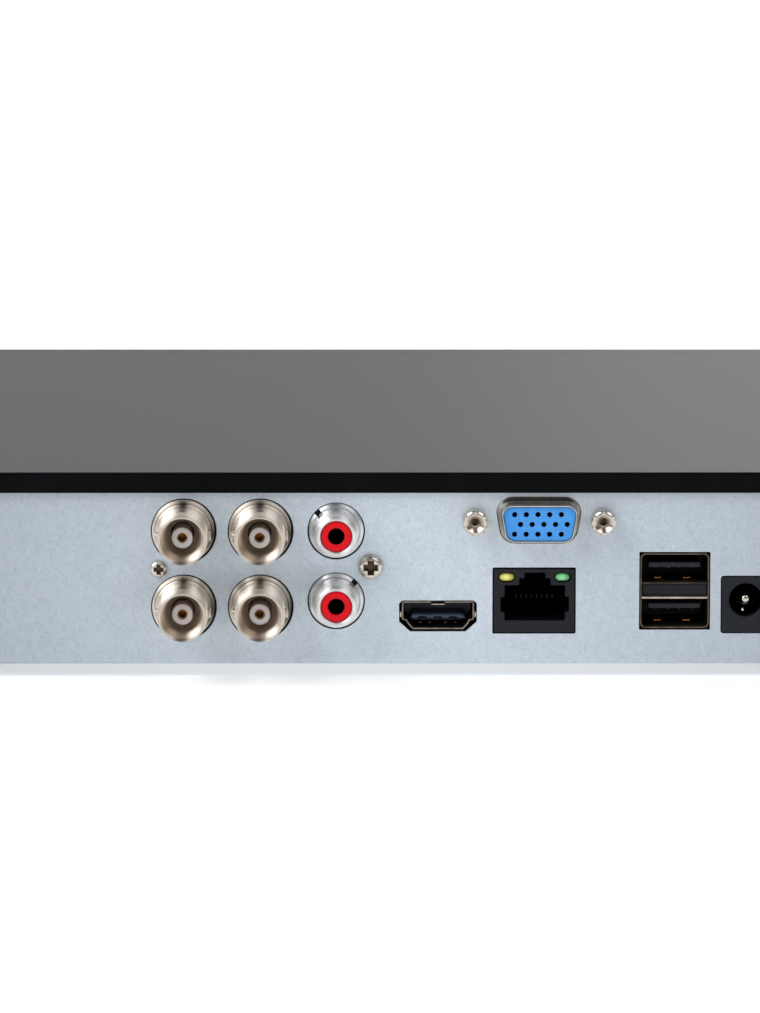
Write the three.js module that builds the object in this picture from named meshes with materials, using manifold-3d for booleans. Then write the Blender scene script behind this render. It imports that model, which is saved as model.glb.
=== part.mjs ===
// A compact four-channel digital video recorder for security cameras, in millimetres, +Z up.
// The front bezel faces -Y, the connector panel faces +Y, and the rubber feet stand on Z = 0.
// The origin is under the middle of the outer box, connector barrels included.
import * as THREE from "three";
import { mergeVertices } from "three/addons/utils/BufferGeometryUtils.js";
import Module from "manifold-3d";

const wasm = await Module();
wasm.setup();

// ---------- driving dimensions ----------

const CASE_W = 204;
const CASE_D = 206;
const CASE_H = 38;
const FOOT_H = 2.5;
const SHEET = 0.8; // steel sheet of tray and cover
const GAP = 0.3; // working clearance between neighbouring pieces
const CUT = 1; // how far a cutter runs past the stock it cuts

const BEZEL_D = 11.5;
const LIP_H = 4; // rear lip of the cover, folded down over the panel
const LIP_OUT = GAP + SHEET; // outer face of that lip, outward from the panel
const PANEL_H = CASE_H - SHEET - GAP;

// Rear connector panel: u runs right as seen from behind, v up from the underside of the case,
// and w outward from the panel's outer face.
const BNC = {
  columns: [-38.4, -23.4],
  rows: [26.4, 11.4],
  flangeR: 6.1,
  barrelR: 4.85,
  boreR: 4.2, // at the mouth: the bore narrows inwards
  boreTaper: 0.6,
  boreEnd: 3.5,
  reach: 13.2,
  lugR: 1,
  lugTip: 5.5,
  lugW: 7.5,
  insulatorR: 2,
  insulatorTip: 9.6,
  contactTip: 9,
};
const RCA = { u: -8.55, rows: [26.45, 12.65], flangeR: 5.35, barrelR: 4.15, boreR: 3.35, reach: 8.6 };
const AV_BLOCK = { u0: -46, u1: 1.2, v1: 33.4, w0: -17 };
const BLOCK_SCREWS = {
  connector_screw_left: { u: -43.2, v: 18.9, headR: 1.65 },
  connector_screw_right: { u: -1.8, v: 19.3, headR: 2.45 },
};
const BLOCK_SHANK_R = 0.9;
const HDMI = { u: 11.35, v: 9.75, w: 14.9, h: 5.4, wall: 0.4, depth: 11 };
const VGA = { u: 31, v: 28.5, w: 16.1, h: 7.7, wall: 0.35, reach: 5.8, screwPitch: 25 };
const RJ45 = { u: 30.15, v: 12.6, w: 15.8, h: 12.6, depth: 21, portW: 11.8, portH: 6.9, portFloor: 2.6 };
const USB = { u: 57.65, v: 14.5, w: 13.3, h: 14.4, wall: 0.3, depth: 17.5, pitch: 8 };
const DC = { u: 71.55, w: 9.4, h: 11, depth: 14, holeR: 3.25, holeV: 12.75, pinR: 1 };
const GROUND = { u: 88, v: 12.5, headR: 3 };

const BOARD = { top: 6, thick: 1.6, u0: -50, u1: 80, w0: -86, w1: -1.4 };
const BOARD_POSTS = [
  [-46, -80],
  [76, -80],
  [-46, -24],
  [76, -24],
];

const SOC = { u: 12, w: -52, size: 21, h: 1.4 };
const HEATSINK = { size: 38, base: 2.4, h: 13, fins: 9, fin: 1.1 };
const CELL = { u: 58, w: -62, r: 10, h: 3.2, lift: 1.4 };
const SATA = { u: -38, w: -60, size: [14, 6.5, 8] };
const RESET = { u: 36, w: -74, size: 6, h: 3.4, well: 1.2, capR: 1.75, capH: 1.6, travel: 0.25 };

// 3.5 inch hard drive, lying across the front of the case. Its frame starts at one lower corner.
const HDD = { x0: -92, y0: -95.2, z0: 1.5, l: 147, w: 101.6, h: 26.1, recess: 2.2, lidT: 1.2 };
const CHAMBER = { wall: 3, floor: 9, end: 128 }; // the end wall stands short of the connector end
const DRIVE_LIP = 22; // where the cast base ends and the lid begins, above the drive's underside
const DRIVE_SOCKET = { y: [10, 52], z: [3.4, 8.4], depth: 9 };
const PLATTER = { x: 50.8, y: 50.8, r: 47.5, t: 1.3, z: 15.6, hubR: 16, hubH: 3, spindleR: 5 };
const ARM = {
  x: 101.6,
  y: 76.8,
  length: 48,
  restDeg: 262.2,
  t: 1.2,
  bossR: 7,
  bossDrop: 1.6,
  bossRise: 3.4,
  pinR: 3,
};

const REAR_Y = CASE_D / 2 - BNC.reach / 2; // outer face of the rear panel
const FRONT_Y = REAR_Y - CASE_D;
const TRAY_FRONT_Y = FRONT_Y + BEZEL_D + GAP;
const TRAY_HALF_W = CASE_W / 2 - SHEET - GAP;
const TRAY_SIDE_H = 11;
const COVER_SCREWS_Y = [-60, 62];
const COVER_SCREW_V = 6.4;
// Status windows in the bezel, near the right-hand end as seen from the front.
const STATUS = { x: 74, v: 12, pitch: 9, count: 3, w: 4.2, h: 1.6 };
const FEET = [
  [-84, -84],
  [84, -84],
  [-84, 76],
  [84, 76],
];

// ---------- solids and cuts ----------

function box(w, d, h, x, y, z) {
  return new THREE.BoxGeometry(w, d, h).translate(x, y, z);
}

function span([x0, x1], [y0, y1], [z0, z1]) {
  return box(x1 - x0, y1 - y0, z1 - z0, (x0 + x1) / 2, (y0 + y1) / 2, (z0 + z1) / 2);
}

function outline(points) {
  return new THREE.Shape(points.map(([x, y]) => new THREE.Vector2(x, y)));
}

// A rectangle with rounded corners, centred on (x, y).
function roundRect(w, h, r, x = 0, y = 0) {
  const s = new THREE.Shape();
  const [x0, x1, y0, y1] = [x - w / 2, x + w / 2, y - h / 2, y + h / 2];
  s.moveTo(x0 + r, y0);
  s.lineTo(x1 - r, y0);
  s.absarc(x1 - r, y0 + r, r, -Math.PI / 2, 0);
  s.lineTo(x1, y1 - r);
  s.absarc(x1 - r, y1 - r, r, 0, Math.PI / 2);
  s.lineTo(x0 + r, y1);
  s.absarc(x0 + r, y1 - r, r, Math.PI / 2, Math.PI);
  s.lineTo(x0, y0 + r);
  s.absarc(x0 + r, y0 + r, r, Math.PI, Math.PI * 1.5);
  return s;
}

function disc(r, x = 0, y = 0) {
  return new THREE.Shape().absarc(x, y, r, 0, Math.PI * 2);
}

// A round cutter through the rear panel or a socket, along w.
function drill(r, u, v, w0, w1, curveSegments = 7) {
  return outward(disc(r, u, v), w0, w1, curveSegments);
}

// The shape stands in the XY plane and is raised from z0 to z1.
function raise(shape, z0, z1, curveSegments = 3) {
  const options = { depth: z1 - z0, bevelEnabled: false, curveSegments };
  return new THREE.ExtrudeGeometry(shape, options).translate(0, 0, z0);
}

// The shape is drawn in (u, v) and runs outward along w, in the rear panel's own frame.
function outward(shape, w0, w1, curveSegments = 3) {
  return raise(shape, w0, w1, curveSegments).rotateX(Math.PI / 2);
}

// A profile of [radius, height] points turned about +Z.
function turnUp(profile, segments) {
  const points = profile.map(([r, h]) => new THREE.Vector2(r, h));
  return new THREE.LatheGeometry(points, segments).rotateX(Math.PI / 2);
}

// The same, turned about the panel's outward direction.
function turnOut(profile, segments) {
  return turnUp(profile, segments).rotateX(Math.PI / 2);
}

// One closed solid, its faces out, from a three.js geometry.
function solid(geometry) {
  const bare = geometry.clone();
  bare.deleteAttribute("normal");
  bare.deleteAttribute("uv");
  const merged = mergeVertices(bare, 1e-4);
  const triVerts = new Uint32Array(merged.index.array);
  const vertProperties = new Float32Array(merged.attributes.position.array);
  const made = new wasm.Manifold(new wasm.Mesh({ numProp: 3, vertProperties, triVerts }));
  return made.volume() < 0 ? new wasm.Manifold(new wasm.Mesh(reversed(vertProperties, triVerts))) : made;
}

function reversed(vertProperties, triVerts) {
  const turned = triVerts.slice();
  for (let i = 0; i < turned.length; i += 3) {
    turned[i] = triVerts[i + 1];
    turned[i + 1] = triVerts[i];
  }
  return { numProp: 3, vertProperties, triVerts: turned };
}

function carve(stock, joins, cuts = []) {
  let body = solid(stock);
  for (const piece of joins) body = body.add(solid(piece));
  for (const cutter of cuts) body = body.subtract(solid(cutter));
  const mesh = body.getMesh();
  const geometry = new THREE.BufferGeometry();
  geometry.setAttribute("position", new THREE.BufferAttribute(new Float32Array(mesh.vertProperties), 3));
  geometry.setIndex(new THREE.BufferAttribute(new Uint32Array(mesh.triVerts), 1));
  geometry.computeVertexNormals();
  return geometry;
}

function piece(name, geometry, material) {
  const mesh = new THREE.Mesh(carve(geometry, []), material);
  mesh.name = name;
  return mesh;
}

// ---------- materials ----------

function finish(color, roughness, metalness) {
  return () => new THREE.MeshStandardMaterial({ color, roughness, metalness });
}

const galvanised = finish(0xc3ccd4, 0.42, 0.85);
const blackPaint = finish(0x17191d, 0.38, 0.2);
const blackPlastic = finish(0x1b1d21, 0.5, 0);
const rubber = finish(0x161616, 0.85, 0);
const nickel = finish(0xcdc6ba, 0.24, 1);
const tinplate = finish(0xc9c9c6, 0.3, 1);
const ptfe = finish(0xeceae4, 0.45, 0);
const bronze = finish(0x8a6a3c, 0.35, 1);
const redPlastic = finish(0xd91b2b, 0.35, 0);
const bluePlastic = finish(0x4a9bec, 0.42, 0);
const boardGreen = finish(0x14502f, 0.5, 0.05);
const zincScrew = finish(0xc4c2bb, 0.3, 1);
const castAluminium = finish(0xa9acae, 0.5, 0.9);
const anodised = finish(0x2a2c30, 0.45, 0.6);
const chipBlack = finish(0x1d1e20, 0.6, 0);
const polishedDisc = finish(0xd6d8da, 0.05, 1);
const clearPipe = finish(0xdfe7ea, 0.15, 0);
const yellowLens = finish(0xd8d24a, 0.2, 0);
const greenLens = finish(0x5fc07a, 0.2, 0);
const redJacket = finish(0xb02a22, 0.5, 0);
const whiteNylon = finish(0xe2e0d6, 0.5, 0);

// ---------- frames ----------

const recorder = new THREE.Group();
recorder.name = "dvr_recorder";

const rear = new THREE.Group();
rear.position.set(0, REAR_Y, FOOT_H);
rear.rotation.z = Math.PI;
rear.updateMatrix();
recorder.add(rear);

const drive = new THREE.Group();
drive.position.set(HDD.x0, HDD.y0, FOOT_H + HDD.z0);
recorder.add(drive);

function onRear(geometry) {
  return geometry.applyMatrix4(rear.matrix);
}

// ---------- rear panel cutouts ----------

function bncPlaces() {
  return BNC.rows.flatMap((v, row) => BNC.columns.map((u, column) => [u, v, row * 2 + column + 1]));
}

// HDMI outline: square at the top, both lower corners cut back at a slant.
function hdmiOutline(grow) {
  const [w, h] = [HDMI.w / 2 + grow, HDMI.h / 2 + grow];
  const [slantW, slantH] = [2.1, 2];
  return outline([
    [HDMI.u - w + slantW, HDMI.v - h],
    [HDMI.u + w - slantW, HDMI.v - h],
    [HDMI.u + w, HDMI.v - h + slantH],
    [HDMI.u + w, HDMI.v + h],
    [HDMI.u - w, HDMI.v + h],
    [HDMI.u - w, HDMI.v - h + slantH],
  ]);
}

// The D outline of a high-density 15-way socket: sides drawn in towards the bottom, corners rounded.
function dOutline(grow) {
  const [w, h] = [VGA.w / 2 + grow, VGA.h / 2 + grow];
  const r = 2.2 + grow;
  const lean = VGA.h * Math.tan((10 * Math.PI) / 180) * 0.5;
  const s = new THREE.Shape();
  const corners = [
    [VGA.u - w + 2 * lean + r, VGA.v - h + r, -Math.PI * 0.944, -Math.PI / 2],
    [VGA.u + w - 2 * lean - r, VGA.v - h + r, -Math.PI / 2, -Math.PI * 0.056],
    [VGA.u + w - r, VGA.v + h - r, -Math.PI * 0.056, Math.PI / 2],
    [VGA.u - w + r, VGA.v + h - r, Math.PI / 2, Math.PI * 1.056],
  ];
  corners.forEach(([x, y, from, to]) => s.absarc(x, y, r, from, to));
  return s;
}

function screwPlaces() {
  return [VGA.u - VGA.screwPitch / 2, VGA.u + VGA.screwPitch / 2];
}

function panelCutters() {
  const through = [-SHEET - CUT, CUT];
  const round = [
    ...bncPlaces().map(([u, v]) => [BNC.flangeR, u, v]),
    ...RCA.rows.map((v) => [RCA.flangeR, RCA.u, v]),
    ...Object.values(BLOCK_SCREWS).map(({ u, v }) => [BLOCK_SHANK_R, u, v]),
    ...screwPlaces().map((u) => [1.5, u, VGA.v]),
    [1.5, GROUND.u, GROUND.v],
  ].map(([r, u, v]) => drill(r + GAP, u, v, ...through));
  const shaped = [
    hdmiOutline(GAP),
    dOutline(GAP),
    roundRect(RJ45.w + 2 * GAP, RJ45.h + 2 * GAP, 0.4, RJ45.u, RJ45.v),
    roundRect(USB.w + 2 * GAP, USB.h + 2 * GAP, 0.5, USB.u, USB.v),
    roundRect(DC.w + 2 * GAP, DC.h + 2 * GAP, 0.6, DC.u, BOARD.top + GAP + DC.h / 2),
  ].map((shape) => outward(shape, ...through));
  return [...round, ...shaped].map(onRear);
}

// ---------- case ----------

function ventSlots(count, pitch, make) {
  return Array.from({ length: count }, (_, i) => make((i - (count - 1) / 2) * pitch));
}

// Cutters for the cover screws, two through each side.
function sideHoles(r, x) {
  return [-1, 1].flatMap((side) =>
    COVER_SCREWS_Y.map((y) => {
      const hole = new THREE.CylinderGeometry(r, r, 4, 12).rotateZ(Math.PI / 2);
      return hole.translate(side * x, y, FOOT_H + COVER_SCREW_V);
    }),
  );
}

function baseTray() {
  const z = (v) => FOOT_H + v;
  const across = [-TRAY_HALF_W, TRAY_HALF_W];
  const floor = span(across, [TRAY_FRONT_Y, REAR_Y], [z(0), z(SHEET)]);
  const panel = span(across, [REAR_Y - SHEET, REAR_Y], [z(0), z(PANEL_H)]);
  const front = span(across, [TRAY_FRONT_Y, TRAY_FRONT_Y + SHEET], [z(0), z(TRAY_SIDE_H)]);
  const sides = [-1, 1].map((side) => {
    const x = side * (TRAY_HALF_W - SHEET / 2);
    return span([x - SHEET / 2, x + SHEET / 2], [TRAY_FRONT_Y, REAR_Y], [z(0), z(TRAY_SIDE_H)]);
  });
  const boardPosts = BOARD_POSTS.map(([u, w]) => {
    const postH = BOARD.top - BOARD.thick - GAP;
    return turnUp([[0, 0], [3.2, 0], [2.6, postH], [0, postH]], 12).translate(-u, REAR_Y + w, z(0));
  });
  const padH = HDD.z0 - GAP;
  const drivePads = [20, 127].flatMap((x) =>
    [12, 89.6].map((y) => box(10, 10, padH, HDD.x0 + x, HDD.y0 + y, z(padH / 2))),
  );
  const floorVents = [-48, 48].flatMap((x) =>
    ventSlots(7, 7, (dy) => box(34, 2.6, SHEET + 2 * CUT, x, 46 + dy, z(SHEET / 2))),
  );
  const cuts = [...panelCutters(), ...floorVents, ...sideHoles(1.5, TRAY_HALF_W)];
  return carve(floor, [panel, front, ...sides, ...boardPosts, ...drivePads], cuts);
}

// The cover is one folded sheet: top, two sides with ventilation slots, and a short lip at the rear.
function topCover() {
  const [half, top] = [CASE_W / 2, FOOT_H + CASE_H];
  const [y0, y1] = [FRONT_Y + BEZEL_D + GAP, REAR_Y + LIP_OUT];
  const bottom = FOOT_H + 1.2;
  const bend = 1.2;
  const section = new THREE.Shape();
  section.moveTo(-half, bottom);
  section.lineTo(-half + SHEET, bottom);
  section.lineTo(-half + SHEET, top - SHEET);
  section.lineTo(half - SHEET, top - SHEET);
  section.lineTo(half - SHEET, bottom);
  section.lineTo(half, bottom);
  section.lineTo(half, top - bend);
  section.absarc(half - bend, top - bend, bend, 0, Math.PI / 2);
  section.lineTo(-half + bend, top);
  section.absarc(-half + bend, top - bend, bend, Math.PI / 2, Math.PI);
  const options = { depth: y1 - y0, bevelEnabled: false, curveSegments: 4 };
  const sleeve = new THREE.ExtrudeGeometry(section, options).rotateX(Math.PI / 2).translate(0, y1, 0);
  const reach = half - SHEET / 2;
  const lip = span([-reach, reach], [y1 - SHEET, y1], [top - LIP_H, top - SHEET / 2]);
  const slots = [-1, 1].flatMap((side) =>
    [-42, 42].flatMap((middle) =>
      ventSlots(9, 6.5, (dy) => box(4, 2.6, 15, side * half, middle + dy, FOOT_H + 24)),
    ),
  );
  // Each side ends short of the rear lip, level with the panel, below the corner.
  const heels = [-1, 1].map((side) => box(4, 2, CASE_H, side * half, y1, top - LIP_H - CASE_H / 2));
  return carve(sleeve, [lip], [...slots, ...heels, ...sideHoles(1.8, half)]);
}

function statusX() {
  const { x, pitch, count } = STATUS;
  return Array.from({ length: count }, (_, i) => x + (i - (count - 1) / 2) * pitch);
}

// The bezel is a moulded cap: a nose that leans back above a shallow groove, hollow behind.
function frontBezel() {
  const [y0, y1, z0, z1] = [FRONT_Y, FRONT_Y + BEZEL_D, FOOT_H, FOOT_H + CASE_H];
  const nose = 2.2;
  const side = new THREE.Shape();
  side.moveTo(y1, z0);
  side.lineTo(y1, z1);
  side.lineTo(y0 + 4.5, z1);
  side.quadraticCurveTo(y0 + nose, z1, y0 + 1.6, z1 - 3);
  side.lineTo(y0, z0 + 19);
  side.lineTo(y0 + 1.2, z0 + 18);
  side.lineTo(y0 + 1.2, z0 + 17);
  side.lineTo(y0, z0 + 16);
  side.lineTo(y0, z0 + nose);
  side.quadraticCurveTo(y0, z0, y0 + nose, z0);
  const options = { depth: CASE_W, bevelEnabled: false, curveSegments: 5 };
  const cap = new THREE.ExtrudeGeometry(side, options)
    .rotateY(Math.PI / 2)
    .rotateX(Math.PI / 2)
    .translate(-CASE_W / 2, 0, 0);
  const wall = 2.2;
  const hollow = span(
    [-CASE_W / 2 + wall, CASE_W / 2 - wall],
    [y0 + 4, y1 + CUT],
    [z0 + wall, z1 - wall],
  );
  const windows = statusX().map((x) => box(STATUS.w, 10, STATUS.h, x, y0 + 2, z0 + STATUS.v));
  return carve(cap, [], [hollow, ...windows]);
}

function lightPipe() {
  const [y0, v] = [FRONT_Y, FOOT_H + STATUS.v];
  const bar = span([STATUS.x - 13, STATUS.x + 13], [y0 + 4 + GAP, y0 + 6.4], [v - 2, v + 2]);
  const tips = statusX().map((x) => box(STATUS.w - 0.6, 4.6, STATUS.h - 0.6, x, y0 + 2.7, v));
  return carve(bar, tips);
}

function ledBoard() {
  const [y0, v] = [FRONT_Y, FOOT_H + STATUS.v];
  const plate = span([STATUS.x - 20, STATUS.x + 20], [y0 + 8.4, y0 + 10], [v - 6, v + 6]);
  const leds = statusX().map((x) => box(2.8, 1.4, 1.4, x, y0 + 7.8, v));
  return carve(plate, leds);
}

// A rubber foot, domed at its edge, with a flat sole.
function foot() {
  const [r, h] = [8, FOOT_H - GAP];
  return turnUp([[0, 0], [r - 1, 0], [r, 0.8], [r, h], [0, h]], 20);
}

// A pan-head screw pointing along -w: head over the panel, shank behind it, cross recess in the head.
function panScrew(headR, headH, shankR, shankL, w0) {
  const shank = [[0, w0 - shankL], [shankR, w0 - shankL], [shankR, w0]];
  const pan = [[headR, w0], [headR, w0 + headH * 0.4], [headR * 0.72, w0 + headH], [0, w0 + headH]];
  const head = turnOut([...shank, ...pan], 14);
  const recess = [[headR * 1.1, headR * 0.28], [headR * 0.28, headR * 1.1]].map(([w, h]) =>
    box(w, headH * 1.2, h, 0, -(w0 + headH), 0),
  );
  return carve(head, [], recess);
}

function buildCase() {
  recorder.add(piece("base_tray", baseTray(), galvanised()));
  recorder.add(piece("top_cover", topCover(), blackPaint()));
  recorder.add(piece("front_bezel", frontBezel(), blackPlastic()));
  recorder.add(piece("light_pipe", lightPipe(), clearPipe()));
  recorder.add(piece("led_board", ledBoard(), boardGreen()));
  FEET.forEach(([x, y], i) => {
    const mesh = piece(`foot_${i + 1}`, foot(), rubber());
    mesh.position.set(x, y, 0);
    recorder.add(mesh);
  });
  [-1, 1].forEach((side) =>
    COVER_SCREWS_Y.forEach((y, i) => {
      const name = `cover_screw_${side < 0 ? "left" : "right"}_${i + 1}`;
      const mesh = piece(name, panScrew(3, 1.3, 1.2, 3.2, GAP), zincScrew());
      mesh.position.set((side * CASE_W) / 2, y, FOOT_H + COVER_SCREW_V);
      mesh.rotation.z = (side * Math.PI) / 2;
      recorder.add(mesh);
    }),
  );
}

// ---------- video and audio sockets ----------

// A BNC shell: flange in the panel, stub into the block, barrel with two bayonet lugs.
function bncShell() {
  const { flangeR, barrelR, boreR, boreTaper, boreEnd, reach, lugR, lugTip, lugW, insulatorR } = BNC;
  const throat = insulatorR + GAP;
  const flange = [[4.3, -0.6], [flangeR, -0.6], [flangeR, 0.5], [flangeR - 0.5, 1], [5.3, 1.2], [5.3, 2.6]];
  const barrel = [[barrelR, 3], [barrelR, reach - 0.2], [barrelR - 0.2, reach], [boreR, reach]];
  const bore = [[boreR - boreTaper, boreEnd], [throat, boreEnd], [throat, -6]];
  const turned = turnOut([[throat, -6], [4.3, -6], ...flange, ...barrel, ...bore], 20);
  const lugs = [-1, 1].map((side) =>
    new THREE.CylinderGeometry(lugR, lugR, lugTip - barrelR + 0.4, 12)
      .rotateZ(Math.PI / 2)
      .translate((side * (lugTip + barrelR - 0.4)) / 2, -lugW, 0),
  );
  return carve(turned, lugs);
}

function bncInsulator() {
  const { insulatorR: r, insulatorTip: tip } = BNC;
  return turnOut([[0.95, -5.7], [r, -5.7], [r, tip], [0.95, tip], [0.95, -5.7]], 14);
}

// The centre contact: a pin with a blind hole that takes the plug's pin.
function bncContact() {
  const tip = BNC.contactTip;
  return turnOut([[0, -6.2], [0.65, -6.2], [0.65, tip], [0.38, tip], [0.38, tip - 5], [0, tip - 5]], 12);
}

// A phono shell: flange with a small keying notch, plain barrel.
function rcaShell(notchDeg) {
  const { flangeR, barrelR, boreR, reach } = RCA;
  const flange = [[4.4, -0.6], [flangeR, -0.6], [flangeR, 0.4], [flangeR - 0.4, 0.8]];
  const barrel = [[barrelR, 1], [barrelR, reach - 0.3], [barrelR - 0.3, reach], [boreR, reach]];
  const turned = turnOut([[boreR, -4], [4.4, -4], ...flange, ...barrel, [boreR, -4]], 20);
  const notch = box(1.6, 2.4, 1.3, flangeR, 0, 0).rotateY((notchDeg * Math.PI) / -180);
  return carve(turned, [], [notch]);
}

function rcaInsert() {
  const r = RCA.boreR - GAP;
  const front = RCA.reach - 0.2;
  return turnOut([[0, -3.6], [r, -3.6], [r, front], [1.6, front], [1.6, 1], [0, 1]], 16);
}

// The moulded block behind the panel that carries all six barrels and takes the two block screws.
function avBlock() {
  const { u0, u1, v1, w0 } = AV_BLOCK;
  const v0 = BOARD.top + GAP;
  const front = -SHEET - GAP;
  const stock = outward(roundRect(u1 - u0, v1 - v0, 1, (u0 + u1) / 2, (v0 + v1) / 2), w0, front);
  const sockets = [...bncPlaces(), ...RCA.rows.map((v) => [RCA.u, v])].map(([u, v]) =>
    drill(4.4 + GAP, u, v, -7, CUT),
  );
  const pilotR = BLOCK_SHANK_R + GAP;
  const pilots = Object.values(BLOCK_SCREWS).map(({ u, v }) => drill(pilotR, u, v, -8, CUT, 4));
  return carve(stock, [], [...sockets, ...pilots]);
}

function buildAvSockets() {
  bncPlaces().forEach(([u, v, n]) => {
    const parts = [
      piece(`bnc_shell_${n}`, bncShell(), nickel()),
      piece(`bnc_insulator_${n}`, bncInsulator(), ptfe()),
      piece(`bnc_contact_${n}`, bncContact(), bronze()),
    ];
    parts.forEach((mesh) => mesh.position.set(u, 0, v));
    rear.add(...parts);
  });
  RCA.rows.forEach((v, i) => {
    const shell = piece(`rca_shell_${i + 1}`, rcaShell(i === 0 ? 135 : 45), nickel());
    const insert = piece(`rca_insert_${i + 1}`, rcaInsert(), redPlastic());
    [shell, insert].forEach((mesh) => mesh.position.set(RCA.u, 0, v));
    rear.add(shell, insert);
  });
  rear.add(piece("av_block", avBlock(), blackPlastic()));
  Object.entries(BLOCK_SCREWS).forEach(([name, { u, v, headR }]) => {
    const mesh = piece(name, panScrew(headR, headR * 0.5, BLOCK_SHANK_R, 6.5, GAP), zincScrew());
    mesh.position.set(u, 0, v);
    rear.add(mesh);
  });
  const ground = piece("ground_screw", panScrew(GROUND.headR, 1.5, 1.4, 5, GAP), zincScrew());
  ground.position.set(GROUND.u, 0, GROUND.v);
  rear.add(ground);
}

// ---------- digital sockets ----------

function hdmiShell() {
  const { depth, wall } = HDMI;
  const cavity = outward(hdmiOutline(-wall), -depth + wall, CUT);
  return carve(outward(hdmiOutline(0), -depth, 0.3), [], [cavity]);
}

function hdmiTongue() {
  const { u, v, depth, wall } = HDMI;
  const back = outward(hdmiOutline(-wall - GAP), -depth + wall + GAP, -depth + 2.4);
  const blade = span([u - 5.3, u + 5.3], [1, depth - 2], [v - 0.45, v + 0.85]);
  return carve(back, [blade]);
}

// The socket's steel shell: a flange plate behind the panel and the D-shaped nose through it.
function vgaShell() {
  const { u, v, reach, wall } = VGA;
  const front = -SHEET - GAP;
  const plate = outward(roundRect(30.8, 9.6, 1, u, v), front - 0.8, front);
  const nose = outward(dOutline(0), front - 0.5, reach);
  const cavity = outward(dOutline(-wall), front - 3, reach + CUT);
  const holes = screwPlaces().map((x) => drill(1.5 + GAP, x, v, front - 2, 0, 5));
  return carve(plate, [nose], [cavity, ...holes]);
}

// Three staggered rows of five pin holes. Behind the panel the moulding runs back over the network
// socket and stands on the board behind it.
function vgaInsert() {
  const { u, v, h, reach, wall } = VGA;
  const [pinPitch, rowPitch] = [2.29, 1.98];
  const body = outward(dOutline(-wall - GAP), -9, reach - 0.5);
  const [behind, back] = [RJ45.depth + 0.6, RJ45.depth + 5];
  const shelf = span([u - 7, u + 7], [8, back], [v - h / 2 + 1, v + h / 2 - 1]);
  const column = span([u - 7, u + 7], [behind, back], [BOARD.top + GAP, v]);
  const holes = [1, 0, -1].flatMap((row) =>
    [-2, -1, 0, 1, 2].map((column) => {
      const shift = row === 0 ? pinPitch * 0.25 : -pinPitch * 0.25;
      return drill(0.5, u + column * pinPitch + shift, v + row * rowPitch, reach - 5, reach, 2);
    }),
  );
  return carve(body, [shelf, column], holes);
}

// A hexagonal jackscrew: threaded post through the panel, hex standing out, tapped hole in its end.
function vgaJackscrew() {
  const across = 4.75;
  const hexR = across / 2 / Math.cos(Math.PI / 6);
  const hex = new THREE.CylinderGeometry(hexR, hexR, 4.6, 6).translate(0, -(GAP + 2.3), 0);
  const post = new THREE.CylinderGeometry(1.4, 1.4, 7, 12).translate(0, 2.7, 0);
  const tapped = new THREE.CylinderGeometry(1.15, 1.15, 5, 14).translate(0, -4, 0);
  return carve(hex, [post], [tapped]);
}

// The opening that takes the network plug: a wide port with side notches and a stepped latch notch.
function rj45Port() {
  const { u, v, h, portW, portH, portFloor } = RJ45;
  const floor = v - h / 2 + portFloor;
  const rows = [
    [portW, 0, portH],
    [13.2, 1.7, 4.5],
    [6.1, portH - 0.2, portH + 1.4],
    [4, portH + 1.2, portH + 2.5],
  ];
  return rows.map(([w, low, high]) =>
    span([u - w / 2, u + w / 2], [-CUT, 14.5], [floor + low, floor + high]),
  );
}

function ledWindow(side, grow) {
  const { u, v, h } = RJ45;
  return [3.1 + grow, 1.7 + grow, u + 0.1 + side * 5.45, v + h / 2 - 1.7];
}

function rj45Housing() {
  const { u, v, w, h, depth } = RJ45;
  const stock = outward(roundRect(w, h, 0.4, u, v), -depth, 0.2);
  const windows = [-1, 1].map((side) => {
    const [ww, wh, wu, wv] = ledWindow(side, 2 * GAP);
    return box(ww, 7, wh, wu, 2, wv);
  });
  return carve(stock, [], [...rj45Port(), ...windows]);
}

// A lens with a softly domed face, sunk a little behind the housing's front.
function rj45Led(side) {
  const [w, h, u, v] = ledWindow(side, 0);
  const stem = outward(roundRect(w, h, 0.8, u, v), -5, -0.3, 2);
  const dome = outward(roundRect(w - 0.7, h - 0.7, 0.45, u, v), -0.4, 0.05, 2);
  return carve(stem, [dome]);
}

// Two stacked ports in one shell, with legs down to the board.
function usbPortSpans(shrink) {
  const { u, v, w, wall, pitch } = USB;
  const half = w / 2 - wall - shrink;
  return [1, -1].map((row) => {
    const middle = v + (row * pitch) / 2;
    return { u: [u - half, u + half], v: [middle - 2.6 + shrink, middle + 2.6 - shrink] };
  });
}

function usbShell() {
  const { u, v, w, h, wall, depth } = USB;
  const stock = outward(roundRect(w, h, 0.9, u, v), -depth, 0.1);
  const [halfW, halfH] = [w / 2 - wall, h / 2 - wall];
  const cavity = span([u - halfW, u + halfW], [-CUT, depth - 1], [v - halfH, v + halfH]);
  const legs = [-1, 1].flatMap((side) =>
    [3.5, 15].map((back) => {
      const x = u + (side * (w - wall)) / 2;
      const leg = [BOARD.top + GAP, v - h / 2 + 1];
      return span([x - wall / 2, x + wall / 2], [back - 0.7, back + 0.7], leg);
    }),
  );
  return carve(stock, legs, [cavity]);
}

// The black moulding inside: a back wall, the divider between the ports and the two contact tongues.
function usbInsert() {
  const { u, v, w, h, wall, depth } = USB;
  const half = w / 2 - wall - GAP;
  const [low, high] = [v - h / 2 + wall + GAP, v + h / 2 - wall - GAP];
  const back = span([u - half, u + half], [depth - 4, depth - 1 - GAP], [low, high]);
  const divider = span([u - half, u + half], [0.6, depth - 3.5], [v - 1.35, v + 1.35]);
  const tongues = usbPortSpans(0).map(({ v: [floor] }) =>
    span([u - 5.1, u + 5.1], [2.2, depth - 3.5], [floor + 2.6, floor + 4.3]),
  );
  return carve(back, [divider, ...tongues]);
}

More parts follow.
